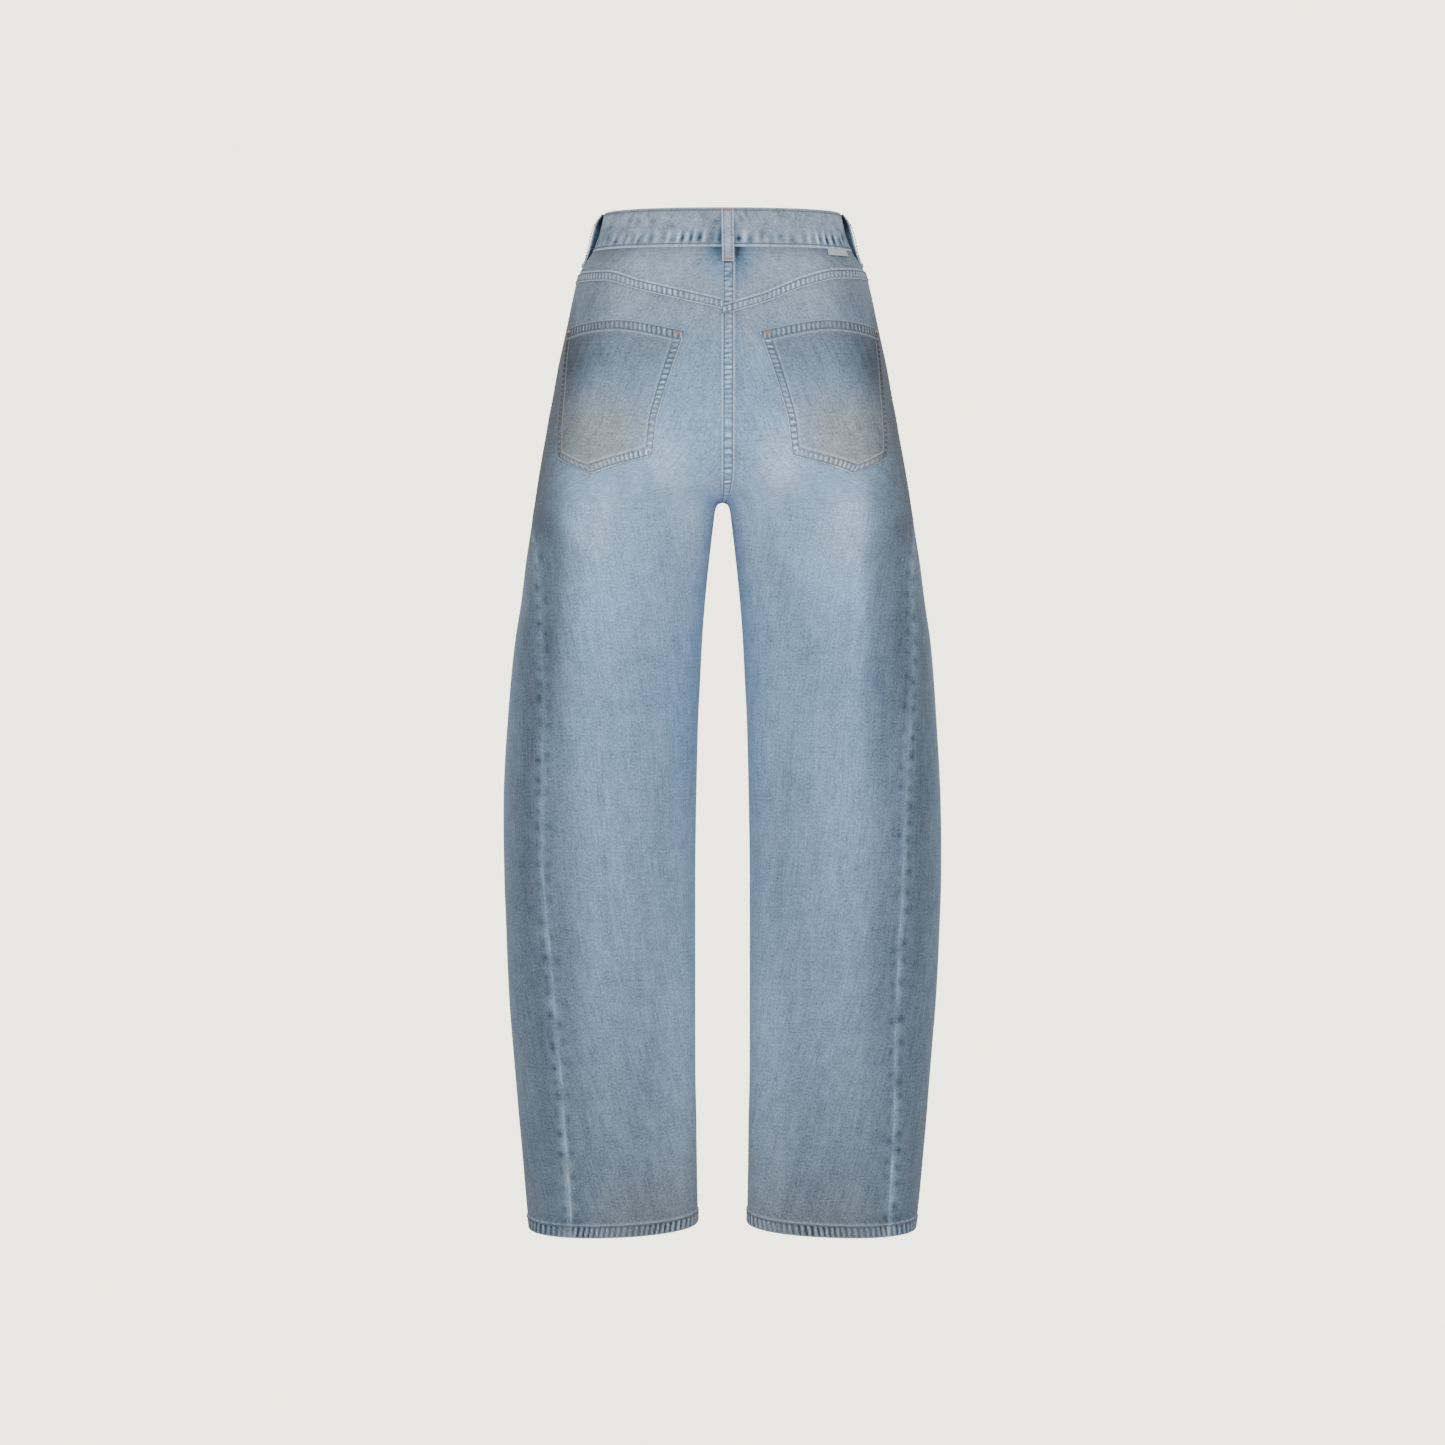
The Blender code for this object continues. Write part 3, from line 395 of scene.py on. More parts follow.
def seam_shift(row, turn, distance):
    """Turn moved along the cloth by a distance."""
    ahead = between(LENGTHS, row, np.clip(turn + 0.004, 0, 1))
    behind = between(LENGTHS, row, np.clip(turn - 0.004, 0, 1))
    span = np.clip(turn + 0.004, 0, 1) - np.clip(turn - 0.004, 0, 1)
    return turn + distance * span / (ahead - behind)


# The photo's camera and the studio, in metres and degrees.
PHOTO_DISTANCE = 4.0
PHOTO_RISE = 3.0            # above the horizon
AIM_HEIGHT = -0.5298
LENS = 95.11
SENSOR = 36.0
FLOOR_HEIGHT = -1.30
SWEEP_RADIUS = 7.0
SWEEP_ROUND = 1.8           # radius of the round between floor and wall
SWEEP_WALL = 9.0
PAPER_GLOW = (3.75, 3.66, 2.96)
WORLD_STRENGTH = 0.84
LIGHT_SIZE = 2.6
LIGHT_POWER = 50.0
LIGHT_PLACES = [(1.3, 4.4, 1.0), (-1.3, 4.4, 1.0), (1.6, -4.4, 1.0), (-1.6, -4.4, 1.0)]

# The worn cloth and its stitches, in millimetres.
COARSE = 4                  # the inner face has one point for this many outer ones
LAP_TURN = 0.0022           # how far the upper layer of a centre seam laps past the middle
SEAM_LAP = 0.6              # how far a lower edge reaches under the next piece
NEAR_SEAM = 14.0            # width of the finely divided strip beside a seam
STITCH = 3.2
STITCH_GAP = 0.55
THREAD = 0.36               # radius
TACK_THREAD_RADIUS = 0.34
SUNK = 0.15                 # a stitch lies this far over the bottom of its groove
RIB = 5.1                   # spacing of the puckers between two stitch lines
HEM_RIB = 6.0               # spacing of the hem's roping
FELL_LINES = (1.4, 10.2)    # stitch lines of the centre back seam, from the joint
YOKE_LINES = (1.3, 8.3)     # of the yoke seam, up from its lower edge
POCKET_LINES = (1.5, 8.0)   # in from the pocket's edge
POCKET_HEM = 10.5
HEM_LINE = 12.0             # up from the hem's edge
BAND_LINES = (-3.0, -37.3)  # rows
MOUTH_LINES = (1.8, 8.0)    # in from the front pocket's mouth
FLY_LINES = (0.0, 6.4)      # in from the outer line of the fly's stitching
MOUTH_WIDE = 95.0           # width of the front pocket's mouth along the waistband
POCKET_WIDE = 122.0         # of a back pocket, for its stitch lines
POCKET_HIGH = 148.0
MAP_SHIFT = {"pocket_back": 0.17, "pocket_facing": 0.31, "waistband": 0.53, "loop": 0.71, "fly_shield": 0.9}

# Outer edge of a side loop as the photo shows it, at SIDE_LOOP's rows.
SIDE_LOOP_SEEN = [1.6, 3.0, 5.2, 6.2, 6.2, 5.2, 3.3, 1.4, 0.5, 0.4]

# Cloth that shows of the waistband, laid flat: width and length in metres.
BAND_FLAT = (0.756, 0.040)

# Soft folds: face is 1 on the back and -1 on the front, side is 1 for the wearer's left.
# Each runs from the top row to the end row at a distance from the middle plane.
FOLDS = {
    "face":  [1, 1, 1, 1, 1, 1, 1, 1, 1, 1, 1, 1, 1, 1,
              -1, -1, -1, -1, -1, -1, -1, -1],
    "side":  [1, 1, -1, -1, 1, -1, 1, 1, -1, 1, -1, 0, 1, -1,
              0, 0, 1, -1, 0, 0, 1, -1],
    "top":   [-225, -235, -215, -230, -235, -262, -320, -480, -430, -560, -520, -90, -700, -640,
              -225, -255, -285, -290, -300, -480, -640, -600],
    "end":   [-560, -600, -640, -650, -420, -520, -520, -960, -990, -1030, -900, -230, -1035, -900,
              -330, -345, -420, -450, -620, -900, -980, -1000],
    "x_top": [153, 176, 141, 160, 84, 14, 92, 125, 120, 62, 60, 34, 168, 168,
              24, 30, 60, 66, 128, 120, 70, 160],
    "x_end": [170, 196, 138, 168, 30, 104, 112, 118, 118, 46, 50, 52, 150, 160,
              120, 112, 20, 24, 150, 112, 52, 140],
    "width": [9, 15, 9, 17, 11, 13, 15, 26, 26, 16, 15, 16, 15, 17,
              8, 9, 12, 13, 20, 28, 18, 20],
    "depth": [1.8, -3.4, 1.8, -3.2, -2.4, -2.4, 1.3, 1.6, 1.5, -1.6, -1.4, -0.9, -1.5, -1.5,
              -1.6, -1.5, -2.2, -2.2, 2.0, 1.6, -1.6, -1.6],
}

# Wash and painted shade by height: how light the cloth is, how warm, at the middle of a panel. The cloth gets
# darker towards the hem, partly from the wash and partly as painted shade for light that falls off down the
# legs.
WASH_AND_SHADE_BY_HEIGHT = {
    "row":   [0, -41, -60, -110, -180, -240, -290, -330, -420, -520, -620, -820, -950, -1025, -1061],
    "back":  [0.30, 0.31, 0.40, 0.36, 0.40, 0.45, 0.44, 0.42, 0.37, 0.335, 0.31, 0.27, 0.225, 0.185, 0.175],
    "front": [0.30, 0.31, 0.36, 0.36, 0.37, 0.40, 0.42, 0.42, 0.40, 0.36, 0.32, 0.27, 0.225, 0.190, 0.175],
    "warm":  [0.7, 0.75, 0.75, 0.60, 0.30, 0.30, 0.36, 0.36, 0.10, 0.10, 0.20, 0.35, 0.55, 0.75, 0.95],
}
SIDE_FADE_AND_SHADE = 0.117           # the dark cloth of the sides: partly unfaded cloth, partly painted shade where the sides turn away from the light
INSIDE_FADE = 0.50
FOLD_WEAR_AND_SHADE = 0.045           # how much paler the cloth is for each millimetre that a fold stands out: partly wear on raised folds, partly painted light and shade that brings out the folds
COOL = (0.625, 1.05, 1.62, 1.0)
WARM = (0.865, 1.02, 1.19, 1.0)
TWILL_ANGLE = 26.0
TAPE_COLOUR = (0.47, 0.52, 0.57)
GREY_COLOUR = (0.205, 0.175, 0.168)
TACK_COLOUR = (0.46, 0.27, 0.17)
METAL_DARK = (0.30, 0.22, 0.14, 1.0)
METAL_LIGHT = (0.62, 0.50, 0.36, 1.0)

# Soft light and dark patches, placed like the folds: their size, and what they add. Most are the wash; the
# lighter patches at the crotch and down the inner legs are painted light that lifts the shade of these
# hollows.
PATCHES = {
    "face":   [1, 1, 1, 1, 1, 1, 1, 1, 1, 1, 1, 1, 1, 1, 1, -1, -1, -1, -1],
    "side":   [0, 0, 1, -1, 0, 0, 1, -1, 0, 0, 1, 1, 0, -1, 0, 0, 0, 0, 0],
    "x":      [60, 26, 134, 132, 36, 130, 56, 40, 130, 40, 128, 60, 14, 155, 185, 105, 100, 30, 45],
    "row":    [-252, -235, -335, -340, -350, -620, -610, -560, -820, -860, -1000, -1030, -285, -470, -750,
               -330, -640, -300, -860],
    "wide":   [26, 22, 24, 30, 26, 34, 22, 26, 30, 24, 26, 26, 22, 18, 30, 45, 42, 26, 26],
    "high":   [34, 40, 80, 90, 110, 150, 60, 90, 170, 200, 60, 26, 24, 110, 160, 150, 130, 60, 190],
    "fade":   [0.18, -0.02, 0.12, 0.11, 0.00, 0.03, -0.01, 0.03, 0.01, 0.12, 0.01, -0.01, 0.07, -0.08, -0.07,
               0.06, 0.04, -0.02, 0.06],
    "warm":   [0.2, -0.1, 0.1, 0.1, 0.1, 0, 0, 0.1, 0.0, 0, 0, 0.1, 0.0, 0, 0, 0.3, 0.2, 0, -0.1],
}
# Painted shade down the sides of the yoke and hips, where they turn away from the light.
SHADE = {
    "row":   [-30, -48, -69, -95, -135, -250, -310, -345],
    "depth": [0.36, 0.42, 0.42, 0.45, 0.32, 0.32, 0.28, 0.0],
}
# How far the dark cloth behind the outseam reaches, and how far out the dark of the thigh starts. This dark is
# partly unfaded cloth and partly painted shade.
STRIP = {"row": [-600, -450, -330, -200, -80], "reach": [44, 42, 68, 76, 50]}
THIGH = {
    "row":  [-640, -560, -480, -400, -330, -260, -200],
    "edge": [178, 172, 165, 158, 152, 154, 165],
}
RIGHT_THIGH = {"row": [-640, -480, -330, -200], "nearer": [34, 24, 10, 2]}


def graded(marks, steps):
    """Values through the marks at about the given steps, in a multiple of COARSE."""
    parts = []
    for low, high, step in zip(marks[:-1], marks[1:], steps):
        count = max(1, round(abs(high - low) / step))
        parts.append(np.linspace(low, high, count, endpoint=False))
    values = list(np.concatenate(parts + [[marks[-1]]]))
    while (len(values) - 1) % COARSE:
        widest = int(np.argmax(np.abs(np.diff(values))))
        values.insert(widest + 1, (values[widest] + values[widest + 1]) / 2)
    return np.array(values)


def ribs(along, pitch=RIB, phase=0.0):
    """Uneven wave of puckers along a seam, from -1 to 1."""
    wobble = 1.5 * np.sin(along / 31.0 + phase) + 1.0 * np.sin(along / 9.7 + 2.3 * phase)
    strong = 0.70 + 0.30 * np.sin(along / 14.0 + 1.7 * phase)
    fine = 0.3 * np.sin(2 * math.pi * along / (0.58 * pitch) + 2.0 * wobble)
    return strong * (np.sin(2 * math.pi * along / pitch + wobble) + fine)


def bump(x, middle, width):
    return np.exp(-(((x - middle) / width) ** 2))


def inside_of(x, low, high, slope=1.5):
    """1 between two values, with a soft step at each."""
    return ramp((x - low) / slope) * ramp((high - x) / slope)


def grooves(x, places, width=0.8):
    """Narrow lines at two places."""
    return bump(x, places[0], width) + bump(x, places[1], width)


def filled(row):
    """Rows with steps added after the first, so that the inner face's rows come out even."""
    while (len(row) - 1) % COARSE:
        row = np.concatenate([row[:1], (row[:1] + row[1:2]) / 2, row[1:]])
    return row


def folded(turn):
    """Turn inside a half for turns past the middle, and whether they are on the other half."""
    inside = np.where(turn < 0, -turn, np.where(turn <= 1, turn, np.where(turn > 2, turn - 2, 2 - turn)))
    other = (turn < 0) | ((turn > 1) & (turn <= 2))
    return inside, other


def creases(x, row, turn, side):
    """Height of the soft folds, with x the distance from the middle plane."""
    total = np.zeros_like(x)
    back = ramp((turn - 0.44) / 0.12)
    for k in range(len(FOLDS["face"])):
        if FOLDS["side"][k] * side < 0:
            continue
        face = back if FOLDS["face"][k] > 0 else 1 - back
        top = FOLDS["top"][k]
        share = (top - row) / (top - FOLDS["end"][k])
        line = FOLDS["x_top"][k] + (FOLDS["x_end"][k] - FOLDS["x_top"][k]) * share
        window = ramp(share / 0.3) * ramp((1 - share) / 0.3)
        total += FOLDS["depth"][k] * bump(x, line, FOLDS["width"][k]) * window * face
    below = ramp((-300.0 - row) / 120.0)
    slow = np.sin(row / 47.0 + x / 39.0 + side) + np.sin(row / 83.0 - x / 27.0 + 2.1 * side + 5 * turn)
    off_seam = ramp(np.minimum(turn, 1 - turn) / 0.05)
    return (total + 0.32 * below * slow) * off_seam


def worn(row, turn, lift, side):
    """Point of the worn cloth. Turns run from 0 to 1 on one half, and on to 2 round a ring."""
    row, turn, lift = np.broadcast_arrays(*(np.asarray(v, float) for v in (row, turn, lift)))
    inside, other = folded(turn)
    point = between(POINTS, row, inside)
    normal = between(NORMALS, row, inside)
    normal = normal / np.linalg.norm(normal, axis=-1, keepdims=True)
    hand = np.where(other, -side, side)
    height = lift + np.where(hand > 0, creases(point[..., 0], row, inside, 1),
                             creases(point[..., 0], row, inside, -1))
    placed = point + normal * height[..., None]
    placed[..., 0] *= hand
    facing = normal.copy()
    facing[..., 0] *= hand
    return placed, facing


def washed_and_shaded(row, turn, side):
    """How light and how warm the cloth is, over a half: the wash, with painted shade and painted light."""
    point = between(POINTS, row, turn)
    x = point[..., 0]
    back = ramp((turn - 0.46) / 0.08)
    fade = smooth(WASH_AND_SHADE_BY_HEIGHT["row"], WASH_AND_SHADE_BY_HEIGHT["back"], row) * back
    fade = fade + smooth(WASH_AND_SHADE_BY_HEIGHT["row"], WASH_AND_SHADE_BY_HEIGHT["front"], row) * (1 - back)
    warm = smooth(WASH_AND_SHADE_BY_HEIGHT["row"], WASH_AND_SHADE_BY_HEIGHT["warm"], row)
    # Wash patches, with painted light at the crotch and the inner legs.
    for k in range(len(PATCHES["face"])):
        if PATCHES["side"][k] * side < 0:
            continue
        face = back if PATCHES["face"][k] > 0 else 1 - back
        spot = bump(x, PATCHES["x"][k], PATCHES["wide"][k])
        spot = spot * bump(row, PATCHES["row"][k], PATCHES["high"][k])
        fade = fade + PATCHES["fade"][k] * spot * face
        warm = warm + PATCHES["warm"][k] * spot * face
    # Raised folds are paler and troughs darker: partly wear, partly painted light and shade.
    fade = fade * (1 + FOLD_WEAR_AND_SHADE * creases(x, row, turn, side))
    seam = outseam_turn(row, side)
    from_seam = between(LENGTHS, row, turn) - between(LENGTHS, row, seam)
    ahead = ramp(1 + from_seam / 120.0) * (from_seam < 0) * (0.78 + 0.22 * ramp(-from_seam / 22.0))
    ahead = ahead * (0.35 + 0.65 * ramp((-60.0 - row) / 90.0))
    reach = smooth(STRIP["row"], STRIP["reach"], row)
    hips = bump(row, -250.0, 130.0)
    behind = ramp(1.15 + 0.4 * hips - from_seam / reach) * (from_seam >= 0) * ramp((-70.0 - row) / 60.0)
    behind = behind * (1 - 0.5 * ramp((-420.0 - row) / 160.0))
    edge = smooth(THIGH["row"], THIGH["edge"], row)
    if side < 0:
        edge = edge - smooth(RIGHT_THIGH["row"], RIGHT_THIGH["nearer"], row)
    outer = 0.42 * ramp((x - edge + 6.0) / 38.0) * back * ramp((-170.0 - row) / 120.0)
    outer = outer * ramp((row + 680.0) / 240.0)
    outer = outer * (from_seam >= 0)
    # Partly unfaded cloth and partly painted shade: the sides and the outer thighs are darker where they turn
    # away from the light.
    dark = 1 - (1 - ahead) * (1 - 0.92 * behind) * (1 - outer)
    deep = SIDE_FADE_AND_SHADE * (1 + 0.22 * ramp((-560.0 - row) / 300.0) + 0.25 * bump(row, -372.0, 46.0))
    fade = fade * (1 - dark) + deep * dark
    # Painted shade: the cloth darkens towards the widest point of each row.
    within = np.interp(-row, -ROWS, POINTS[..., 0].max(axis=1)) - x
    near = 1 - ramp((within - 20.0 - 10.0 * bump(row, -275.0, 45.0)) / 42.0)
    fade = fade * (1 - near * smooth(SHADE["row"], SHADE["depth"], row))
    warm = np.clip(warm * (1 - dark) + (0.55 + 0.25 * bump(row, -200.0, 80.0)) * dark, 0, 1)
    return fade, warm


def paint(fade, warm, pale=0.0, tone=0.0):
    """The four values of each point for wash and painted light and shade. Where tone is under 0 the cloth is
    darker and bluer.
    """
    fade = fade * np.maximum(1 + 2.6 * tone, 0.15)
    warm = np.clip(warm + 1.3 * np.minimum(tone, 0.0), 0.0, 1.0)
    return np.stack(np.broadcast_arrays(fade, warm, pale, 0.0), axis=-1).astype(float)


def cloth_map(row, turn, shift=0.0):
    """Place on the cloth in metres, for the weave."""
    inside, other = folded(np.asarray(turn, float))
    along = between(LENGTHS, np.asarray(row, float), inside)
    return np.stack([np.where(other, -along, along) / 1000.0 + shift, row / 1000.0 + shift], axis=-1)


def make(name, points, faces, cloth, look=None, weave=None):
    """A smooth mesh in metres, with its wash and painted shade and its place on the cloth."""
    mesh = bpy.data.meshes.new(name)
    mesh.from_pydata((points / 1000.0).tolist(), [], faces)
    mesh.polygons.foreach_set("use_smooth", np.ones(len(mesh.polygons), bool))
    mesh.set_sharp_from_angle(angle=math.radians(55))
    if look is not None:
        layer = mesh.attributes.new("wash_and_shade", "FLOAT_COLOR", "POINT")
        layer.data.foreach_set("color", look.astype(np.float32).ravel())
    if weave is not None:
        corner = np.zeros(len(mesh.loops), np.int32)
        mesh.loops.foreach_get("vertex_index", corner)
        layer = mesh.uv_layers.new(name="cloth")
        layer.data.foreach_set("uv", weave[corner].astype(np.float32).ravel())
    mesh.materials.append(cloth)
    made = bpy.data.objects.new(name, mesh)
    bpy.context.scene.collection.objects.link(made)
    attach(made, "root")
    return made


def shell(name, row, turn, lift, inner_lift, side, look, cloth, shift=0.0, inner_look=None):
    """Cloth with a fine outer face, a coarser inner face and a rim between them."""
    row, turn, lift, inner_lift = np.broadcast_arrays(row, turn, lift, inner_lift)
    outer, facing = worn(row, turn, lift, side)
    few = (slice(None, None, COARSE), slice(None, None, COARSE))
    inner, _ = worn(row[few], turn[few], inner_lift[few], side)
    rows, columns = row.shape
    first = rows * columns
    low_rows, low_columns = row[few].shape
    i, j = np.meshgrid(np.arange(rows - 1), np.arange(columns - 1), indexing="ij")
    corner = i * columns + j
    quads = np.stack([corner, corner + columns, corner + columns + 1, corner + 1], -1).reshape(-1, 4)
    a, b, c = (outer.reshape(-1, 3)[quads[len(quads) // 2, n]] for n in (0, 1, 2))
    middle = facing.reshape(-1, 3)[quads[len(quads) // 2, 0]]
    turned = np.dot(np.cross(b - a, c - b), middle) < 0
    i, j = np.meshgrid(np.arange(low_rows - 1), np.arange(low_columns - 1), indexing="ij")
    corner = first + i * low_columns + j
    below = corner + low_columns
    backs = np.stack([corner, corner + 1, below + 1, below], -1).reshape(-1, 4)
    rim = []
    for k in range(low_columns - 1):
        fine = [k * COARSE + n for n in range(COARSE + 1)]
        rim.append(fine + [first + k + 1, first + k])
        base = first + (low_rows - 1) * low_columns
        fine = [(rows - 1) * columns + n for n in fine]
        rim.append(fine[::-1] + [base + k, base + k + 1])
    for k in range(low_rows - 1):
        fine = [(k * COARSE + n) * columns for n in range(COARSE + 1)]
        rim.append(fine[::-1] + [first + k * low_columns, first + (k + 1) * low_columns])
        fine = [n + columns - 1 for n in fine]
        last = first + low_columns - 1
        rim.append(fine + [last + (k + 1) * low_columns, last + k * low_columns])
    faces = quads.tolist() + backs.tolist() + rim
    if turned:
        faces = [face[::-1] for face in faces]
    weave = cloth_map(row, turn, shift)
    if inner_look is None:
        within = look[few].copy()
        within[..., 3] = 1.0
    else:
        within = inner_look[few]
    points = np.concatenate([outer.reshape(-1, 3), inner.reshape(-1, 3)])
    looks = np.concatenate([look.reshape(-1, 4), within.reshape(-1, 4)])
    weave = np.concatenate([weave.reshape(-1, 2), weave[few].reshape(-1, 2)])
    return make(name, points, faces, cloth, looks, weave)


def add(tree, kind, values=(), **options):
    """A shader node with its options and its inputs set or linked."""
    made = tree.nodes.new(kind)
    for key, value in options.items():
        setattr(made, key, value)
    for key, value in values:
        if isinstance(value, bpy.types.NodeSocket):
            tree.links.new(value, made.inputs[key])
        else:
            made.inputs[key].default_value = value
    return made


def sums(tree, kind, *values):
    return add(tree, "ShaderNodeMath", list(enumerate(values)), operation=kind).outputs[0]


def stretched(tree, vector, scale):
    """A vector with each direction scaled."""
    return add(tree, "ShaderNodeVectorMath", [(0, vector), (1, scale)], operation="MULTIPLY").outputs[0]


def noise(tree, vector, detail=2.0, scale=1.0):
    """Noise from about -1 to 1."""
    made = add(tree, "ShaderNodeTexNoise", [("Vector", vector), ("Scale", scale), ("Detail", detail)])
    return sums(tree, "MULTIPLY_ADD", made.outputs[0], 4.0, -2.0)


def tinted(tree, colour, factor):
    """A colour made lighter or darker."""
    return add(tree, "ShaderNodeVectorMath", [(0, colour), ("Scale", factor)], operation="SCALE").outputs[0]


def give_relief(tree, shader, height, strength, distance):
    """Gives a shader the relief of a height."""
    relief = add(tree, "ShaderNodeBump",
                 [("Strength", strength), ("Distance", distance), ("Height", height)])
    tree.links.new(relief.outputs[0], shader.inputs["Normal"])


def blank(name, rough, sheen=0.0):
    """A material with its tree and its shader."""
    made = bpy.data.materials.new(name)
    made.use_nodes = True
    shader = made.node_tree.nodes["Principled BSDF"]
    shader.inputs["Roughness"].default_value = rough
    shader.inputs["Specular IOR Level"].default_value = 0.25
    shader.inputs["Sheen Weight"].default_value = sheen
    return made, made.node_tree, shader


def denim(name):
    """Washed twill: slubs along the warp, twill lines, grain, cloudy fading, pale edges, and the painted light
    and shade that come with the mesh's colour attribute.
    """
    made, tree, shader = blank(name, 0.9, 0.08)
    wash_and_shade = add(tree, "ShaderNodeAttribute", attribute_name="wash_and_shade")
    parts = add(tree, "ShaderNodeSeparateColor", [(0, wash_and_shade.outputs["Color"])]).outputs
    fade, warm, pale = parts[0], parts[1], parts[2]
    inside = wash_and_shade.outputs["Alpha"]
    weave = add(tree, "ShaderNodeUVMap", uv_map="cloth").outputs[0]
    place = add(tree, "ShaderNodeTexCoord").outputs["Object"]
    slub = noise(tree, stretched(tree, weave, (620.0, 26.0, 1.0)), 3.0)
    fill = noise(tree, stretched(tree, weave, (30.0, 700.0, 1.0)), 2.0)
    grain = noise(tree, stretched(tree, weave, (500.0, 420.0, 1.0)), 3.0)
    cloud = noise(tree, stretched(tree, place, (26.0, 26.0, 16.0)), 3.0)
    mottle = noise(tree, stretched(tree, place, (95.0, 95.0, 60.0)), 2.0)
    streak = noise(tree, stretched(tree, weave, (75.0, 5.0, 1.0)), 2.0)
    turned = add(tree, "ShaderNodeMapping",
                 [("Vector", weave), ("Rotation", (0.0, 0.0, math.radians(TWILL_ANGLE)))]).outputs[0]
    twill = add(tree, "ShaderNodeTexWave", [("Vector", turned), ("Scale", 340.0), ("Distortion", 1.4),
                                            ("Detail", 1.0), ("Detail Scale", 2.0)]).outputs[1]
    twill = sums(tree, "SUBTRACT", twill, 0.5)
    total = sums(tree, "MULTIPLY", slub, 0.20)
    shares = ((fill, 0.09), (grain, 0.35), (cloud, 0.06), (mottle, 0.12), (streak, 0.05), (twill, 0.14))
    for part, share in shares:
        total = sums(tree, "MULTIPLY_ADD", part, share, total)
    level = add(tree, "ShaderNodeMix", [(0, inside), (2, fade), (3, INSIDE_FADE)])
    level = sums(tree, "MULTIPLY", level.outputs[0], sums(tree, "ADD", total, 1.0))
    # Pale wear, with painted highlights on the waistband's puckers.
    pale_wear_and_highlight = sums(tree, "MULTIPLY", pale, sums(tree, "MULTIPLY_ADD", grain, 0.25, 0.75))
    level = sums(tree, "MULTIPLY_ADD", pale_wear_and_highlight, 0.47, level)
    tint = sums(tree, "MAXIMUM", sums(tree, "MAXIMUM", warm, pale), inside)
    tint = sums(tree, "MULTIPLY_ADD", cloud, 0.06, tint)
    hue = add(tree, "ShaderNodeMix", [(0, tint), (6, COOL), (7, WARM)],
              data_type="RGBA", clamp_factor=True)
    tree.links.new(tinted(tree, hue.outputs[2], level), shader.inputs["Base Color"])
    ridges = sums(tree, "MULTIPLY_ADD", twill, 2.0, slub)
    give_relief(tree, shader, sums(tree, "MULTIPLY_ADD", grain, 0.5, ridges), 0.35, 0.00018)
    return made


def thread(name, colour):
    """Cotton thread with a fine twist."""
    made, tree, shader = blank(name, 0.7, 0.1)
    place = add(tree, "ShaderNodeTexCoord").outputs["Object"]
    uneven = noise(tree, place, 2.0, 900.0)
    shade = sums(tree, "MULTIPLY_ADD", uneven, 0.14, 1.0)
    tree.links.new(tinted(tree, colour, shade), shader.inputs["Base Color"])
    give_relief(tree, shader, uneven, 0.4, 0.0001)
    return made


def aged_metal(name):
    """Antiqued metal with darker and lighter spots."""
    made, tree, shader = blank(name, 0.38)
    shader.inputs["Metallic"].default_value = 1.0
    place = add(tree, "ShaderNodeTexCoord").outputs["Object"]
    spots = noise(tree, place, 4.0, 420.0)
    share = sums(tree, "MULTIPLY_ADD", spots, 0.3, 0.5)
    tint = add(tree, "ShaderNodeMix", [(0, share), (6, METAL_DARK), (7, METAL_LIGHT)], data_type="RGBA")
    tree.links.new(tint.outputs[2], shader.inputs["Base Color"])
    rough = sums(tree, "MULTIPLY_ADD", spots, 0.08, 0.4)
    tree.links.new(rough, shader.inputs["Roughness"])
    return made


def tape(name):
    """Plain woven tape."""
    made, tree, shader = blank(name, 0.8)
    weave = add(tree, "ShaderNodeUVMap", uv_map="cloth").outputs[0]
    picks = noise(tree, stretched(tree, weave, (300.0, 1900.0, 1.0)), 1.0)
    shade = sums(tree, "MULTIPLY_ADD", picks, 0.06, 1.0)
    tree.links.new(tinted(tree, TAPE_COLOUR, shade), shader.inputs["Base Color"])
    give_relief(tree, shader, picks, 0.4, 0.0001)
    return made


def over_width(row, near, share_steps, far, width):
    """Distances for a row's columns: fine beside both edges, even between them."""
    middle = np.linspace(0.0, 1.0, share_steps + 1)[1:-1]
    reach = (width - near[-1] - far[-1])[:, None]
    between_them = near[-1] + reach * middle[None, :]
    start = np.repeat(near[None, :], len(row), axis=0)
    end = width[:, None] - far[::-1][None, :]
    return np.concatenate([start, between_them, end], axis=1)


def rows_down(top, above, below, count):
    """Rows from an uneven top edge to the bend, then level."""
    share = np.linspace(0.0, 1.0, above + 1)[:-1, None]
    top = np.broadcast_to(top, (count,))
    upper = top[None, :] * (1 - share) + below[0] * share
    return np.concatenate([upper, np.repeat(below[:, None], count, axis=1)])


HEM_TOP = HEM_ROW + HEM_HEIGHT
LEG_ROWS = graded([BEND_ROW, CROTCH_ROW - 12, HEM_ROW + 40, HEM_TOP + 2, HEM_TOP - 2,
                   HEM_ROW + 1.5, HEM_ROW], [2.0, 2.5, 1.8, 0.7, 1.1, 0.5])


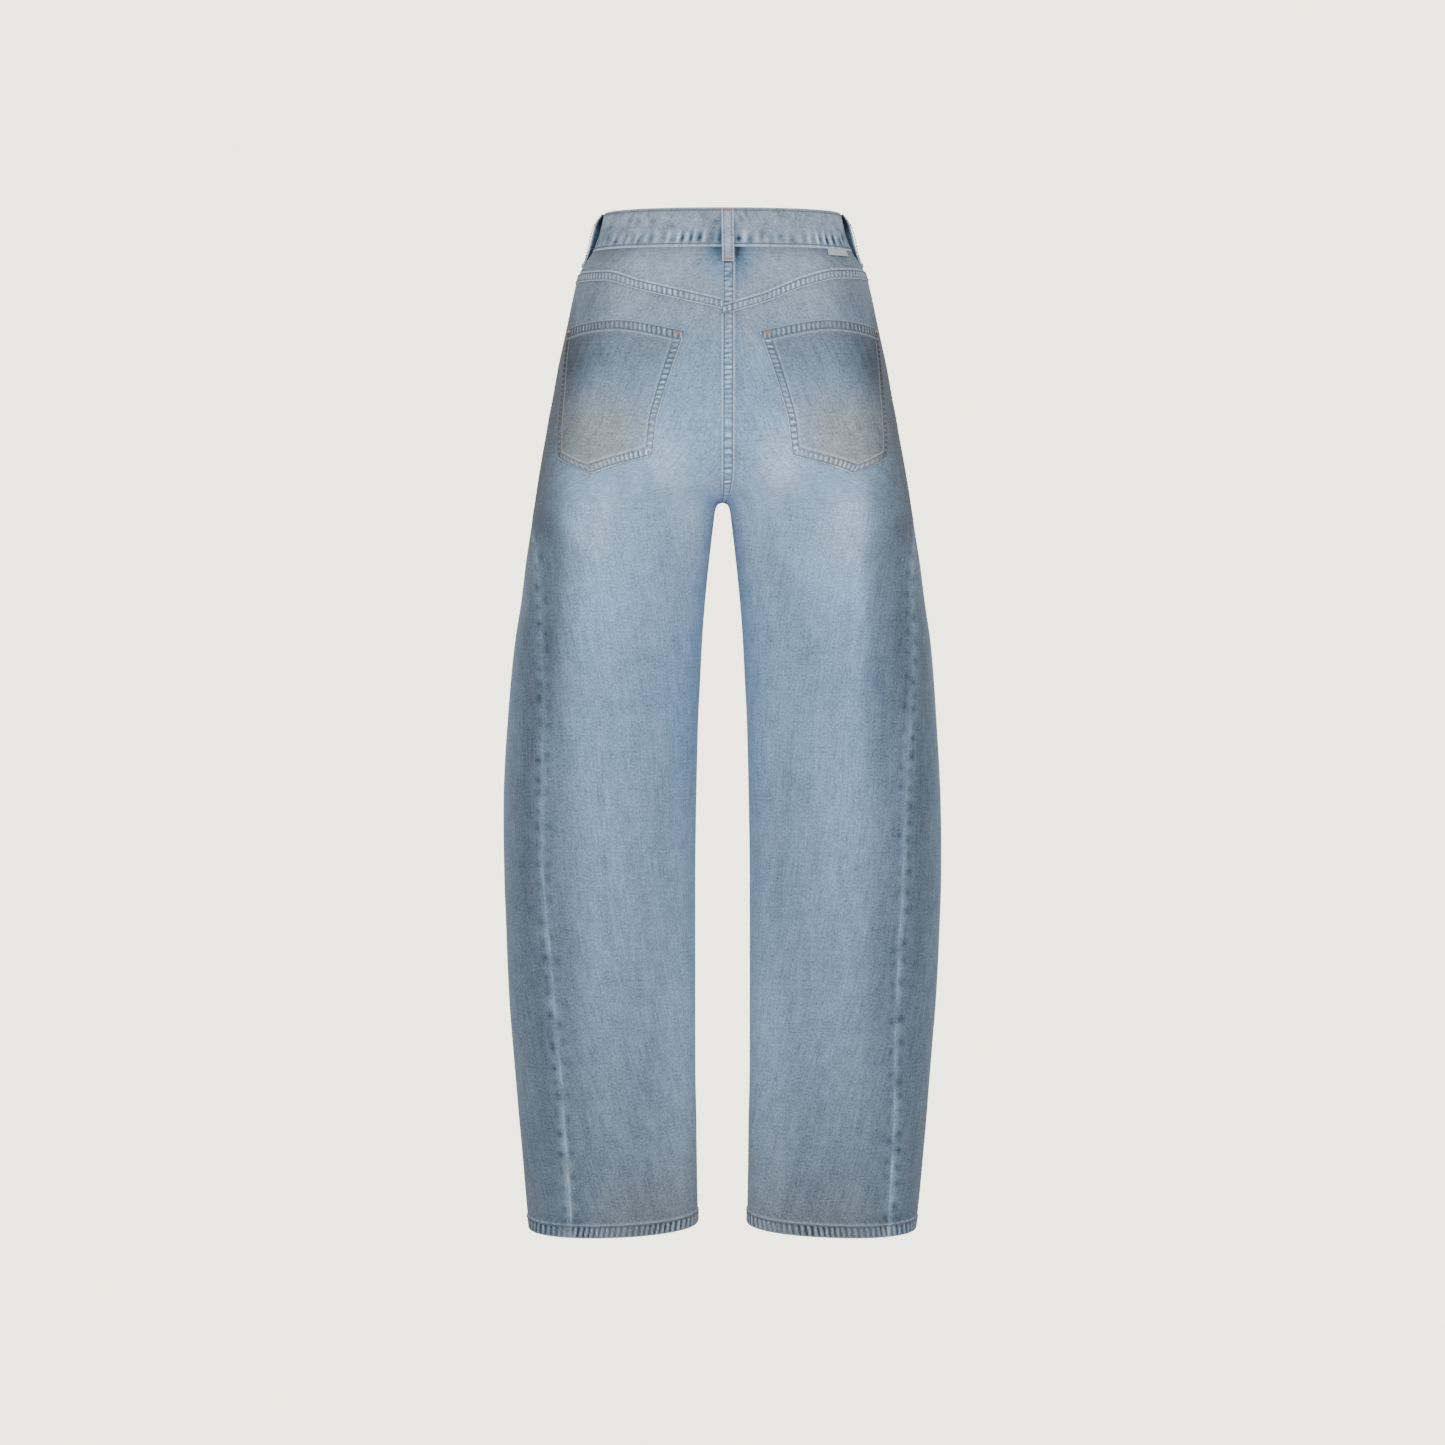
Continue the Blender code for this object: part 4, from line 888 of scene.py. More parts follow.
def hem_relief(row, along, side):
    """Height and shade of the turned hem, with its roping."""
    up = row - HEM_ROW
    raised = ramp((HEM_HEIGHT + 1.0 - up) / 1.8)
    line = bump(up, HEM_LINE, 0.9)
    rope = ribs(along + 0.18 * up, HEM_RIB, 1.3 + side)
    slow = np.sin(along / 17.0 + side)
    within = ramp(up / 2.0) * ramp((HEM_HEIGHT - up) / 3.0)
    height = raised * HEM_EXTRA + within * (0.42 * rope + 0.15 * slow) - 0.3 * line
    height = height - 0.5 * ramp(1 - up / 1.2)
    above = ramp((up - HEM_HEIGHT) / 1.5) * bump(up, HEM_HEIGHT, 9.0)
    height = height + 0.16 * above * ribs(along + 0.5 * up, HEM_RIB, 1.3 + side)
    # Painted shade in the hem's stitch groove; the roping's light and dark is wear.
    shade = within * (0.26 * rope + 0.06 * slow - 0.06) - 0.16 * bump(up, HEM_LINE, 1.6) * raised
    shade = shade + above * (0.07 * ribs(along + 0.9 * up, 8.0, 2.3 + side) - 0.03)
    pale = 0.5 * ramp(1 - up / 1.8) + 0.45 * within * np.maximum(rope, 0)
    pale = pale + 0.4 * bump(up, HEM_LINE + 2.0, 1.0)
    return height, shade, pale * (up < HEM_HEIGHT + 5)


def spots(along, across, start, end, spacing, offset, long, wide, seed):
    """Uneven spots in a line: their strength at each point. Pairs give the least and the most."""
    random = np.random.default_rng(seed)
    place = start
    total = np.zeros_like(along)
    while place < end:
        place += random.uniform(*spacing)
        strong = random.uniform(0.4, 1.0)
        one = bump(along, place, random.uniform(*long))
        total = total + strong * one * bump(across, random.uniform(*offset), random.uniform(*wide))
    return total


def seam_dots(row, distance, side):
    """Dark puckers beside the outseam."""
    seed = 20 + 7 * side
    ends = (HEM_ROW + 8.0, -330.0)
    large = spots(row, distance, *ends, (13.0, 25.0), (3.4, 5.8), (3.2, 5.6), (2.6, 4.2), seed)
    small = spots(row, distance, *ends, (7.0, 15.0), (2.0, 7.0), (1.5, 2.6), (1.4, 2.4), seed + 1)
    return large + 0.35 * small


def outseam_relief(row, distance, side, outward):
    """Height, shade and pale line beside the outseam; outward is true on the front piece."""
    close = np.maximum(distance, 0)
    dots = seam_dots(row, close, side) if outward else 0.6 * seam_dots(row + 7.0, close - 1.5, side + 2)
    small = ribs(row, 6.3, side) * bump(close, 2.5, 3.0)
    height = -0.5 * np.exp(-close / 0.7) + 0.28 * bump(close, 2.2, 2.0) - 0.5 * dots + 0.10 * small
    wander = 0.5 * np.sin(row / 7.3 + side) * np.sin(row / 23.0) + 0.3 * np.sin(row / 61.0)
    wander = np.clip(0.55 + wander, 0, 1)
    beside = bump(close, 0.0, 7.5) * (0.5 + 0.5 * wander)
    shade = -0.30 * dots + 0.04 * small + (0.12 if outward else 0.03) * beside
    pale = (0.75 if not outward else 0.3) * bump(close, 0.8, 1.3) * wander * ramp((-560.0 - row) / 300.0)
    knot = bump(row, HEM_ROW + 17.0, 5.0) * bump(close, 2.0, 9.0)
    return height, shade - 0.2 * knot, pale + 0.14 * beside


def hem_back(row):
    """How much thicker the turned hem is on its inner face."""
    return HEM_EXTRA * (row < HEM_ROW + HEM_HEIGHT)


def back_columns(steps):
    """Distances of a back piece's columns beside its two seams, the even steps between them,
    and the number of columns."""
    near = graded([0, 1.2, 13.2], [0.4, 0.75])
    far = graded([0, 1.2, NEAR_SEAM], [0.4, 1.0])
    while (len(near) + len(far) + steps - 2) % COARSE:
        steps += 1
    return near, far, steps, len(near) + len(far) + steps - 1


def yoke_end(near, steps, far, count, side, above=0.0):
    """Row of the yoke's lower edge at each column, found in a few rounds."""
    end = np.full(count, -100.0)
    for _ in range(6):
        seam = outseam_turn(end[-1:], side)
        width = between(LENGTHS, end[-1:], np.ones(1)) - between(LENGTHS, end[-1:], seam)
        distance = over_width(end[:1], near, steps, far, width)[0]
        end = yoke_row(turn_at(end, distance), side) + above
    return end


def back_panel(side, cloth):
    """A back leg and half of the seat, below the yoke."""
    near, far, steps, count = back_columns(76)
    top = yoke_end(near, steps, far, count, side, SEAM_LAP)
    row = filled(rows_down(top, 44, LEG_ROWS, count))
    turn, distance, width = back_grid(row, near, steps, far, side)
    turn[:, -1] = seam_shift(row[:, -1], turn[:, -1], GAP / 2)
    fade, warm = washed_and_shaded(row, turn, side)
    if side < 0:
        turn[:, 0] = np.where(row[:, 0] > CROTCH_ROW, turn[:, 0] + LAP_TURN, turn[:, 0])
    above = ramp((row - CROTCH_ROW) / 25.0)
    from_seam = width - distance
    rise, tone, pale = outseam_relief(row, from_seam, side, False)
    below = ramp((-285.0 - row) / 40.0)
    rise, tone, pale = rise * below, tone * below, pale * below
    if side < 0:
        felled, shade, light = felled_relief(distance, row)
        rise, tone, pale = rise + felled * above, tone + shade * above, pale + light * above
    else:
        rise = rise - 0.5 * np.exp(-distance / 1.2) * above
        # Painted shade along the joint, beside the other half's felled seam.
        tone = tone - 0.05 * bump(distance, 0.0, 2.5) * above
    under = top[None, :] - row
    upper = (row > BEND_ROW) * np.exp(-np.maximum(under, 0) / 5.5)
    rise = rise + 0.2 * ribs(distance, RIB, side) * upper
    # Painted shadow under the yoke's lapped edge, with its puckers.
    tone = tone + (-0.045 + 0.05 * ribs(distance, RIB, side)) * upper
    tone = tone - 0.05 * (row > BEND_ROW) * np.exp(-np.maximum(under, 0) / 1.8)
    hem, shade, light = hem_relief(row, distance, side)
    look = paint(fade, warm, pale + light, tone + shade)
    inner = -WALL - hem_back(row)
    made = shell(side_name("cloth_back", side), row, turn, rise + hem, inner, side, look, cloth)
    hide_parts(side_name("back", side))
    return made


def back_grid(row, near, steps, far, side):
    """Turns and distances from the back over a grid, and each row's width."""
    seam = outseam_turn(row[:, -1], side)
    total = between(LENGTHS, row, np.ones_like(row))
    width = total[:, -1] - between(LENGTHS, row[:, -1], seam)
    distance = over_width(row, near, steps, far, width)
    return turn_at(row, distance), distance, width[:, None]


def felled_relief(distance, along):
    """Height, shade and pale edges of a felled seam, by distance from its joint."""
    within = ramp((FELL_BACK - distance) / 1.4)
    lines = grooves(distance, FELL_LINES)
    rung = ribs(along, RIB, 0.4) * inside_of(distance, *FELL_LINES)
    height = FELL_RISE * within - 0.34 * lines + 0.32 * rung
    # Painted shade in the stitch grooves and just past the lapped edge.
    shade = -0.18 * lines + 0.22 * rung - 0.01 * within - 0.10 * bump(distance, FELL_BACK + 1.8, 2.0)
    pale = 0.8 * bump(distance, FELL_BACK - 0.6, 1.1) + 0.7 * bump(distance, 0.2, 1.1) + 0.7 * rung
    return height, shade, np.maximum(pale, 0)


def yoke(side, cloth):
    """A back yoke, felled onto the back below it."""
    near, far, steps, count = back_columns(112)
    end = yoke_end(near, steps, far, count, side)
    high = -BAND_HEIGHT + SEAM_LAP
    up = graded([0.0, 1.0, 2.0, 7.5, 9.0, 10.6, 12.0], [0.33, 0.5, 0.6, 0.4, 0.4, 0.5])
    upper = np.linspace(1.0, 0.0, 24, endpoint=False)[:, None]
    seam_top = end + up[-1]
    row = filled(np.concatenate([seam_top + (high - seam_top) * upper, end[None, :] + up[::-1][:, None]]))
    turn, distance, _ = back_grid(row, near, steps, far, side)
    turn[:, -1] = seam_shift(row[:, -1], turn[:, -1], GAP / 2)
    rise_up = row - end[None, :]
    within = ramp((FELL_YOKE + 0.6 - rise_up) / 1.3)
    lines = grooves(rise_up, YOKE_LINES)
    rung = ribs(distance, RIB, 2.0 * side) * inside_of(rise_up, *YOKE_LINES, slope=1.4)
    height = FELL_RISE * within - 0.34 * lines + 0.34 * rung - 0.3 * ramp(1 - rise_up / 0.7)
    fade, warm = washed_and_shaded(row, turn, side)
    # Painted shade in the stitch grooves and just above the seam's upper edge.
    tone = -0.18 * lines + 0.22 * rung - 0.01 * within - 0.05 * bump(rise_up, FELL_YOKE + 2.4, 2.0)
    above = ribs(distance, RIB * 1.2, 1.1 * side) * bump(rise_up, FELL_YOKE + 2.5, 4.0)
    tone = tone + 0.035 * above
    height = height + 0.12 * above
    pale = 0.9 * bump(rise_up, 0.4, 1.2) + 0.75 * bump(rise_up, FELL_YOKE + 0.2, 1.2)
    pale = pale + 0.8 * np.maximum(rung, 0)
    if side < 0:
        felled, shade, light = felled_relief(distance, row)
        cross = ramp((rise_up - FELL_YOKE) / 2.0)
        height = height + felled * cross
        tone = tone + shade * cross
        pale = pale + light * cross
    # Painted shade: a shadow under the waistband's edge, and darker, bluer cloth round the back loop and
    # beside the side loops; round the back loop this is partly unfaded cloth.
    beneath = bump(row, -BAND_HEIGHT - 1.0, 3.0)
    middle = bump(distance, 0.0, 26.0)
    near_loop = bump(distance, 13.0 if side < 0 else 5.0, 7.0)
    tone = tone - 0.05 * beneath - 0.05 * middle * bump(row, -BAND_HEIGHT - 4.0, 12.0)
    tone = tone - 0.12 * near_loop * bump(row, -BAND_HEIGHT - 2.0, 8.0)
    wide_dark = bump(distance, 14.0, 17.0) if side < 0 else bump(distance, 4.0, 12.0)
    streaks = 0.8 + 0.2 * np.sin(distance / 2.9 + row / 11.0)
    tone = tone - (0.19 if side < 0 else 0.09) * wide_dark * bump(row, -BAND_HEIGHT - 14.0, 24.0) * streaks
    ends = bump(between(LENGTHS, row, turn) - between(LENGTHS, row, np.full_like(row, 0.5)), 8.0, 11.0)
    tone = tone - 0.13 * ends * bump(row, -BAND_HEIGHT - 3.0, 10.0)
    warm = np.clip(warm - 0.6 * wide_dark * bump(row, -BAND_HEIGHT - 14.0, 24.0), 0.0, 1.0)
    look = paint(fade, warm, pale, tone)
    made = shell(side_name("cloth_yoke", side), row, turn, height, -WALL, side, look, cloth)
    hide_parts(side_name("yoke", side))
    return made


def mouth_columns():
    """Turns of the front's columns at the side seam's scale, and the pocket mouth's depth."""
    plain = graded([0.0, 0.004, SCOOP_TURN], [0.001, 0.0045])[:-1]
    angle = np.radians(graded([0, 60, 90], [4.0, 0.95]))
    turns = 0.5 - (0.5 - SCOOP_TURN) * np.cos(angle)
    base = np.concatenate([plain, turns])
    depth = np.concatenate([np.zeros(len(plain)), SCOOP_DEPTH * np.sin(angle)])
    return base, depth


def front_panel(side, cloth):
    """A front leg with its scooped pocket mouth, and the fly's stitching on the left."""
    base, depth = mouth_columns()
    top = -BAND_HEIGHT - GAP - depth + (GAP + SEAM_LAP) * ramp(1 - depth / 2.0)
    row = filled(rows_down(top, 72, LEG_ROWS, len(base)))
    seam = outseam_turn(row[:, -1], side)
    turn = base[None, :] * (seam / 0.5)[:, None]
    turn[:, -1] = seam_shift(row[:, -1], turn[:, -1], SEAM_LAP)
    along = between(LENGTHS, row, turn)
    width = between(LENGTHS, row[:, -1], seam)[:, None]
    fade, warm = washed_and_shaded(row, turn, side)
    rise, tone, pale = outseam_relief(row, width - along, side, True)
    from_mouth = mouth_distance(row, along, turn, seam)
    lines = grooves(from_mouth, MOUTH_LINES)
    rung = ribs(along + row, RIB, side) * inside_of(from_mouth, *MOUTH_LINES)
    rise = rise - 0.28 * lines + 0.22 * rung - 0.35 * ramp(1 - from_mouth / 1.0)
    pale = pale + 0.9 * bump(from_mouth, 0.4, 1.2) + 0.3 * np.maximum(rung, 0)
    pale = pale + 0.4 * bump(from_mouth, 9.8, 1.1)
    # Painted shade in the stitch grooves of the pocket mouth.
    tone = tone - 0.13 * lines + 0.13 * rung - 0.05 * ramp((8.6 - from_mouth) / 1.0)
    if side > 0:
        fly = fly_distance(row, along)
        fly_rows = row > -FLY_LENGTH - BAND_HEIGHT - 30
        fly_lines = grooves(fly, FLY_LINES, 1.0) * fly_rows
        fly_rung = ribs(row, RIB * 1.5, 0.7) * inside_of(fly, *FLY_LINES) * fly_rows
        rise = rise - 0.28 * fly_lines + 0.15 * fly_rung
        # Painted shade in the fly's stitch grooves and beside its outer line.
        tone = tone - 0.12 * fly_lines + 0.07 * fly_rung - 0.05 * bump(fly, -2.5, 2.5) * fly_rows
        pale = pale + 0.35 * bump(fly, -1.6, 1.1) * fly_rows
    middle = ramp((row - CROTCH_ROW) / 25.0)
    rise = rise - (0.15 if side > 0 else 0.9) * np.exp(-along / 0.9) * middle
    if side > 0:
        turn[:, 0] = np.where(row[:, 0] > CROTCH_ROW, turn[:, 0] - LAP_TURN, turn[:, 0])
    pale = pale + 0.4 * bump(along, 0.8, 0.9) * middle * (side > 0)
    hem, shade, light = hem_relief(row, width - along + 11.0, side)
    look = paint(fade, warm, pale + light, tone + shade)
    inner = -WALL - hem_back(row)
    made = shell(side_name("cloth_front", side), row, turn, rise + hem, inner, side, look, cloth)
    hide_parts(side_name("front", side))
    return made


def mouth_distance(row, along, turn, seam):
    """Distance inwards from the front pocket's mouth, in millimetres."""
    scaled = turn * (0.5 / seam)[:, None]
    start = between(LENGTHS, row, np.full_like(row, SCOOP_TURN))
    end = between(LENGTHS, row, np.full_like(row, 0.5))
    across = np.clip((end - along) / (end - start), 0.0, 4.0)
    down = (-BAND_HEIGHT - GAP - row) / SCOOP_DEPTH
    level = np.hypot(across, np.maximum(down, 0.0))
    reach = np.hypot(across * (end - start), down * SCOOP_DEPTH)
    inwards = reach * (1 - 1 / np.maximum(level, 1e-6))
    return np.where((scaled > 0.04) & (row > -170.0), np.maximum(inwards, 0.0), 99.0)


def fly_distance(row, along):
    """Distance from the outer line of the fly's J-shaped stitching."""
    straight = FLY_RIGHT + 8.0
    turn_row = -FLY_LENGTH - BAND_HEIGHT + straight
    below = np.maximum(turn_row - row, 0.0)
    return straight - np.hypot(along, below * (straight / (straight + 4.0)))


def pocket_facing(side, cloth):
    """The cloth seen in a front pocket's mouth."""
    base = graded([0.0, 1.0], [0.03])
    down = graded([0.0, 1.0], [0.03])
    reach = (SCOOP_DEPTH + FACING_MARGIN) / SCOOP_DEPTH
    wide = 0.5 - (0.5 - SCOOP_TURN) * (1 + FACING_MARGIN / MOUTH_WIDE)
    turns = wide + 0.012 + (0.5 - wide - 0.012) * base
    scaled = (0.5 - turns) / (0.5 - wide)
    low = -BAND_HEIGHT - GAP - reach * SCOOP_DEPTH * np.sqrt(np.maximum(1 - scaled**2, 0.0))
    row = (-BAND_HEIGHT + SEAM_LAP) * (1 - down[:, None]) + low[None, :] * down[:, None]
    turn = np.repeat(turns[None, :], len(row), axis=0)
    turn[:, -1] = seam_shift(row[:, -1], turn[:, -1], SEAM_LAP)
    fade, warm = washed_and_shaded(row, turn, side)
    look = paint(np.full_like(row, 0.24) + 0.1 * (fade - 0.3), 0.5 * warm)
    made = shell(side_name("cloth_pocket_facing", side), row, turn, FACING_OUT, FACING_OUT - FACING_WALL, side,
                 look, cloth, MAP_SHIFT["pocket_facing"])
    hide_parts(side_name("pocket_facing", side))
    return made


def pocket_place(across, down):
    """Row and distance from the back, on a back pocket."""
    top = smooth(POCKET_TOP["across"], POCKET_TOP["row"], across)
    end = np.interp(across, POCKET_END["across"], POCKET_END["row"])
    inner = smooth(POCKET["edge_height"], POCKET["inner"], down)
    outer = smooth(POCKET["edge_height"], POCKET["outer"], down)
    return top * (1 - down) + end * down, inner + (outer - inner) * across


def pocket_edges(across, down):
    """Distance in from the sides, the top and the pointed bottom of a pocket."""
    row, distance = pocket_place(across, down)
    top, _ = pocket_place(across, np.zeros_like(down))
    end, _ = pocket_place(across, np.ones_like(down))
    _, inner = pocket_place(np.zeros_like(across), down)
    _, outer = pocket_place(np.ones_like(across), down)
    sides = np.minimum((distance - inner) * 0.96, outer - distance)
    return sides, top - row, (row - end) * 0.95


def back_pocket(side, cloth):
    """A patch pocket with a turned top and a pointed bottom."""
    point = POCKET_END["across"][1]
    fine = 0.006
    across = graded([0.0, 0.07, point, 0.93, 1.0], [fine, 0.0105, 0.0105, fine])
    down = graded([0.0, 0.1, 0.86, 1.0], [0.0055, 0.011, 0.006])
    across, down = np.meshgrid(across, down)
    row, distance = pocket_place(across, down)
    turn = turn_at(row, distance)
    sides, from_top, from_end = pocket_edges(across, down)
    edge = np.minimum(sides, from_end)
    below_hem = ramp((from_top - POCKET_HEM) / 1.2)
    first, second = POCKET_LINES
    lines = (bump(edge, first, 0.75) + bump(edge, second, 0.75) * below_hem) * ramp(from_top)
    band = inside_of(edge, first, second) * below_hem
    along = np.where(sides < from_end, row, distance)
    rung = ribs(along, RIB, 0.8 * side) * band * (1 - 0.5 * ramp((across - 0.6) / 0.2))
    hem_places = (first, POCKET_HEM - 1.2)
    hem_lines = grooves(from_top, hem_places, 0.75) * ramp((edge - 1.0) / 2.0)
    hem_band = inside_of(from_top, *hem_places)
    hem_rung = ribs(distance, RIB, 1.9 * side) * hem_band
    raised = 0.35 * ramp((POCKET_HEM + 0.6 - from_top) / 1.2) + 0.25 * ramp((second + 1.0 - edge) / 1.2)
    height = POCKET_LIFT + POCKET_WALL + raised - 0.35 * np.minimum(lines + hem_lines, 1.3)
    height = height + 0.24 * (rung + hem_rung) - 0.7 * ramp(1 - np.minimum(edge, from_top) / 1.3)
    swell = ramp(edge / 45.0) * ramp(from_top / 30.0)
    height = height + 1.2 * swell
    fade, warm = washed_and_shaded(row, turn, side)
    upper = ramp((0.66 - down) / 0.46)
    # Painted shade at the pocket's outer edge, where it turns away from the light, partly darker wash.
    rim = bump(sides, 3.5, 7.0) * ramp((across - 0.5) / 0.2)
    low = bump(down, 0.82, 0.24)
    out = bump(across, 0.62, 0.42)
    fade = fade * 0.86 - 0.085 * upper * (0.75 + 0.25 * ramp((across - 0.1) / 0.5))
    fade = fade - 0.03 * bump(across, 0.72, 0.2) * bump(down, 0.3, 0.2)
    fade = fade * (1 - 0.3 * rim) * (1 - 0.12 * low * out)
    warm = warm + 1.15 * low * out + 0.1 + 0.05 * upper + 0.2 * rim
    # Painted shade in the stitch grooves.
    tone = -0.17 * (lines + hem_lines) + 0.20 * (rung + hem_rung) - 0.01 * (band + hem_band)
    tone = tone + 0.03 * bump(from_end, 5.0, 6.0)
    pale = 1.0 * bump(np.minimum(edge, from_top), 0.2, 1.2) * (0.75 + 0.25 * np.sin(along / 9.0))
    pale = pale + 0.45 * bump(from_top, POCKET_HEM + 0.5, 1.1) + 0.62 * np.maximum(rung + hem_rung, 0)
    pale = pale + 0.5 * bump(edge, second + 1.6, 1.1) * below_hem
    look = paint(fade, np.clip(warm, 0, 1), pale, tone)
    made = shell(side_name("cloth_pocket_back", side), row, turn, height, POCKET_LIFT, side, look, cloth,
                 MAP_SHIFT["pocket_back"])
    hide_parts(side_name("pocket_back", side))
    return made


def waistband(cloth):
    """One strip whose left end laps over its right end at the centre front."""
    lap = 0.045
    turn = graded([-lap, -lap + 0.003, 0.94, 1.06, 1.87, 2.057, 2.06],
                  [0.0008, 0.0029, 0.0026, 0.0029, 0.0029, 0.0008])
    row = graded([0.0, -0.5, -1.6, -5.0, -26.0, -38.6, -BAND_HEIGHT], [0.25, 0.4, 0.7, 1.3, 0.9, 0.6])
    row, turn = np.meshgrid(row, turn, indexing="ij")
    inside, other = folded(turn)
    under = ramp((turn - (2 - 0.125)) / 0.065) * (BAND_WALL + GAP)
    ring = 500.0 * BAND_FLAT[0] * np.where(other, -inside, inside)
    rounded = 0.9 * ramp(1 + row / 1.4)
    lower = bump(row, -31.5, 7.0) * ramp((row + BAND_HEIGHT + 2.5) / 3.0)
    pucker = ribs(ring - 0.15 * row, 11.0, 0.9) * lower * (0.7 + 0.3 * np.sin(ring / 23.0))
    pucker = pucker * (1 - 0.8 * bump(row, BAND_LINES[1], 1.5))
    seam = bump(row, BAND_LINES[1], 0.8) + bump(row, BAND_LINES[0], 0.8)
    height = BAND_OUT - under - rounded - 0.3 * seam + 0.55 * pucker
    height = height - 0.4 - 0.12 * np.sin(ring / 31.0 + row / 9.0)
    fade = smooth(WASH_AND_SHADE_BY_HEIGHT["row"], WASH_AND_SHADE_BY_HEIGHT["back"], row) + 0.0 * turn
    # Painted shade by the side loops and beside the back loop.
    sides = bump(inside, 0.5, 0.07)
    middle = bump(inside, 1.0, 0.035)
    blotch = np.sin(ring / 8.3 + 0.21 * row) * np.sin(ring / 21.0 + 1.0)
    ends = (ring.min(), ring.max())
    dots = spots(ring, row, *ends, (7.0, 19.0), (-34.0, -27.0), (2.2, 4.6), (2.6, 5.0), 5)
    flecks = spots(ring, row, *ends, (5.0, 13.0), (-26.0, -6.0), (2.0, 5.0), (1.6, 4.0), 6)
    light = spots(ring, row, *ends, (6.0, 15.0), (-30.0, -5.0), (3.0, 8.0), (2.0, 4.5), 8)
    height = height - 0.3 * dots
    # The puckers are paler on top and darker and bluer between them: partly wear, partly painted light and
    # shade.
    tone = -0.03 * sides - 0.04 * middle * ramp((-8.0 - row) / 10.0) + 0.22 * pucker - 0.26 * dots
    tone = tone - 0.20 * flecks + 0.15 * light + 0.07
    # Painted shade towards the sides, where the band turns away from the light.
    flank = 1 - ramp((np.abs(inside - 0.5) * 380.0 - 40.0) / 50.0)
    tone = tone - 0.13 * flank * ramp((-12.0 - row) / 10.0)
    # Painted shade beside the back loop.
    beside = bump(inside, 1.0, 0.036) * ramp((-4.0 - row) / 8.0)
    tone = tone - 0.16 * beside * bump(row, -26.0, 15.0)
    # Painted shade in the stitch grooves.
    tone = tone - 0.05 * lower * (0.5 + 0.5 * blotch) - 0.12 * seam + 0.03 * ramp((-34.0 - row) / 3.0)
    # Painted shade by the side loops.
    tone = tone - 0.13 * bump(inside, 0.5, 0.03) * bump(row, -12.0, 14.0)
    pale = 0.6 * ramp(1 + row / 1.2) + 0.6 * bump(row, -BAND_HEIGHT + 0.6, 1.2)
    # Pale pucker tops: partly wear, partly painted highlight.
    pale = pale + 0.85 * np.maximum(pucker, 0)
    look = paint(fade, np.clip(0.75 + 2.5 * np.minimum(tone, 0.0), 0.0, 1.0), pale, tone)
    inner = BAND_OUT - BAND_WALL - under + rounded * 0.6
    made = shell("cloth_waistband", row, turn, height, inner, 1, look, cloth, MAP_SHIFT["waistband"])
    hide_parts("waistband")
    return made


def belt_loop(name, centre_turn, table, side, cloth):
    """A folded strip across the waistband with a raised fold along each edge."""
    down = graded([table["row"][0], table["row"][-1]], [0.9])
    across = graded([-LOOP_WIDTH / 2, LOOP_WIDTH / 2], [0.75])
    row, offset = np.meshgrid(down, across, indexing="ij")
    near = min(max(centre_turn, 0.05), 0.95)
    ahead = between(LENGTHS, row, np.full_like(row, near + 0.05))
    behind = between(LENGTHS, row, np.full_like(row, near - 0.05))
    turn = centre_turn + offset * 0.1 / (ahead - behind)
    lift = smooth(table["row"], table["lift"], row)
    beneath = paint(np.full_like(row, 0.3), 0.8)
    if table is SIDE_LOOP:
        seen = smooth(table["row"], SIDE_LOOP_SEEN, row)
        lift = -0.5 + (seen + 0.5) * (0.5 + offset / LOOP_WIDTH)
        edge_pale = 0.8 * ramp((offset - LOOP_WIDTH / 2 + 2.0) / 2.0)
        # Painted shade: the side loop's inner face is near black at the top, to darken the gap under it;
        # partly unfaded cloth.
        beneath = paint(0.05 + 0.2 * ramp((-12.0 - row) / 12.0), 0.4, edge_pale)
    height = lift + LOOP_WALL
    edge = LOOP_WIDTH / 2 - np.abs(offset)
    shape = -0.55 * ramp(1 - edge / 1.0) - 0.3 * bump(edge, 2.0, 0.6) + 0.15 * bump(edge, 1.0, 0.8)
    ends = bump(row, table["row"][0] - 2.0, 1.2) + bump(row, table["row"][-1] + 2.4, 1.2)
    height = height + shape - 0.3 * ends
    # Painted shade in the stitch grooves and at the tacked ends.
    fade = 0.43 + 0.03 * np.sin(row / 3.1 + side) - 0.06 * bump(edge, 2.0, 0.6) - 0.04 * ends
    pale = 0.7 * bump(edge, 0.6, 0.8) + 0.15 * ramp((edge - 3.0) / 1.5)
    look = paint(fade, 0.85 + 0.0 * row, pale)
    return shell(name, row, turn, height, lift, side, look, cloth, MAP_SHIFT["loop"], beneath)


def label_tab(cloth):
    """A small blank tab that hangs from the waistband's seam."""
    down = graded([-BAND_HEIGHT - 0.6, -BAND_HEIGHT - 7.5], [0.6])
    offset = graded([-LABEL_WIDTH / 2, LABEL_WIDTH / 2], [1.2])
    row, offset = np.meshgrid(down, offset, indexing="ij")
    turn = seam_shift(row, turn_at(row, np.full_like(row, LABEL_FROM_BACK)), offset)
    share = (-BAND_HEIGHT - 0.6 - row) / 6.9
    lift = 0.5 + 0.5 * share**2
    fold = -0.35 * ramp(1 - (LABEL_WIDTH / 2 - np.abs(offset)) / 1.0) - 0.3 * ramp((share - 0.85) / 0.15)
    made = shell("cloth_label_tab", row, turn, lift + 0.9 + fold, lift, -1, paint(0.5 + 0 * row, 1.0), cloth)
    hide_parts("label_tab")
    return made


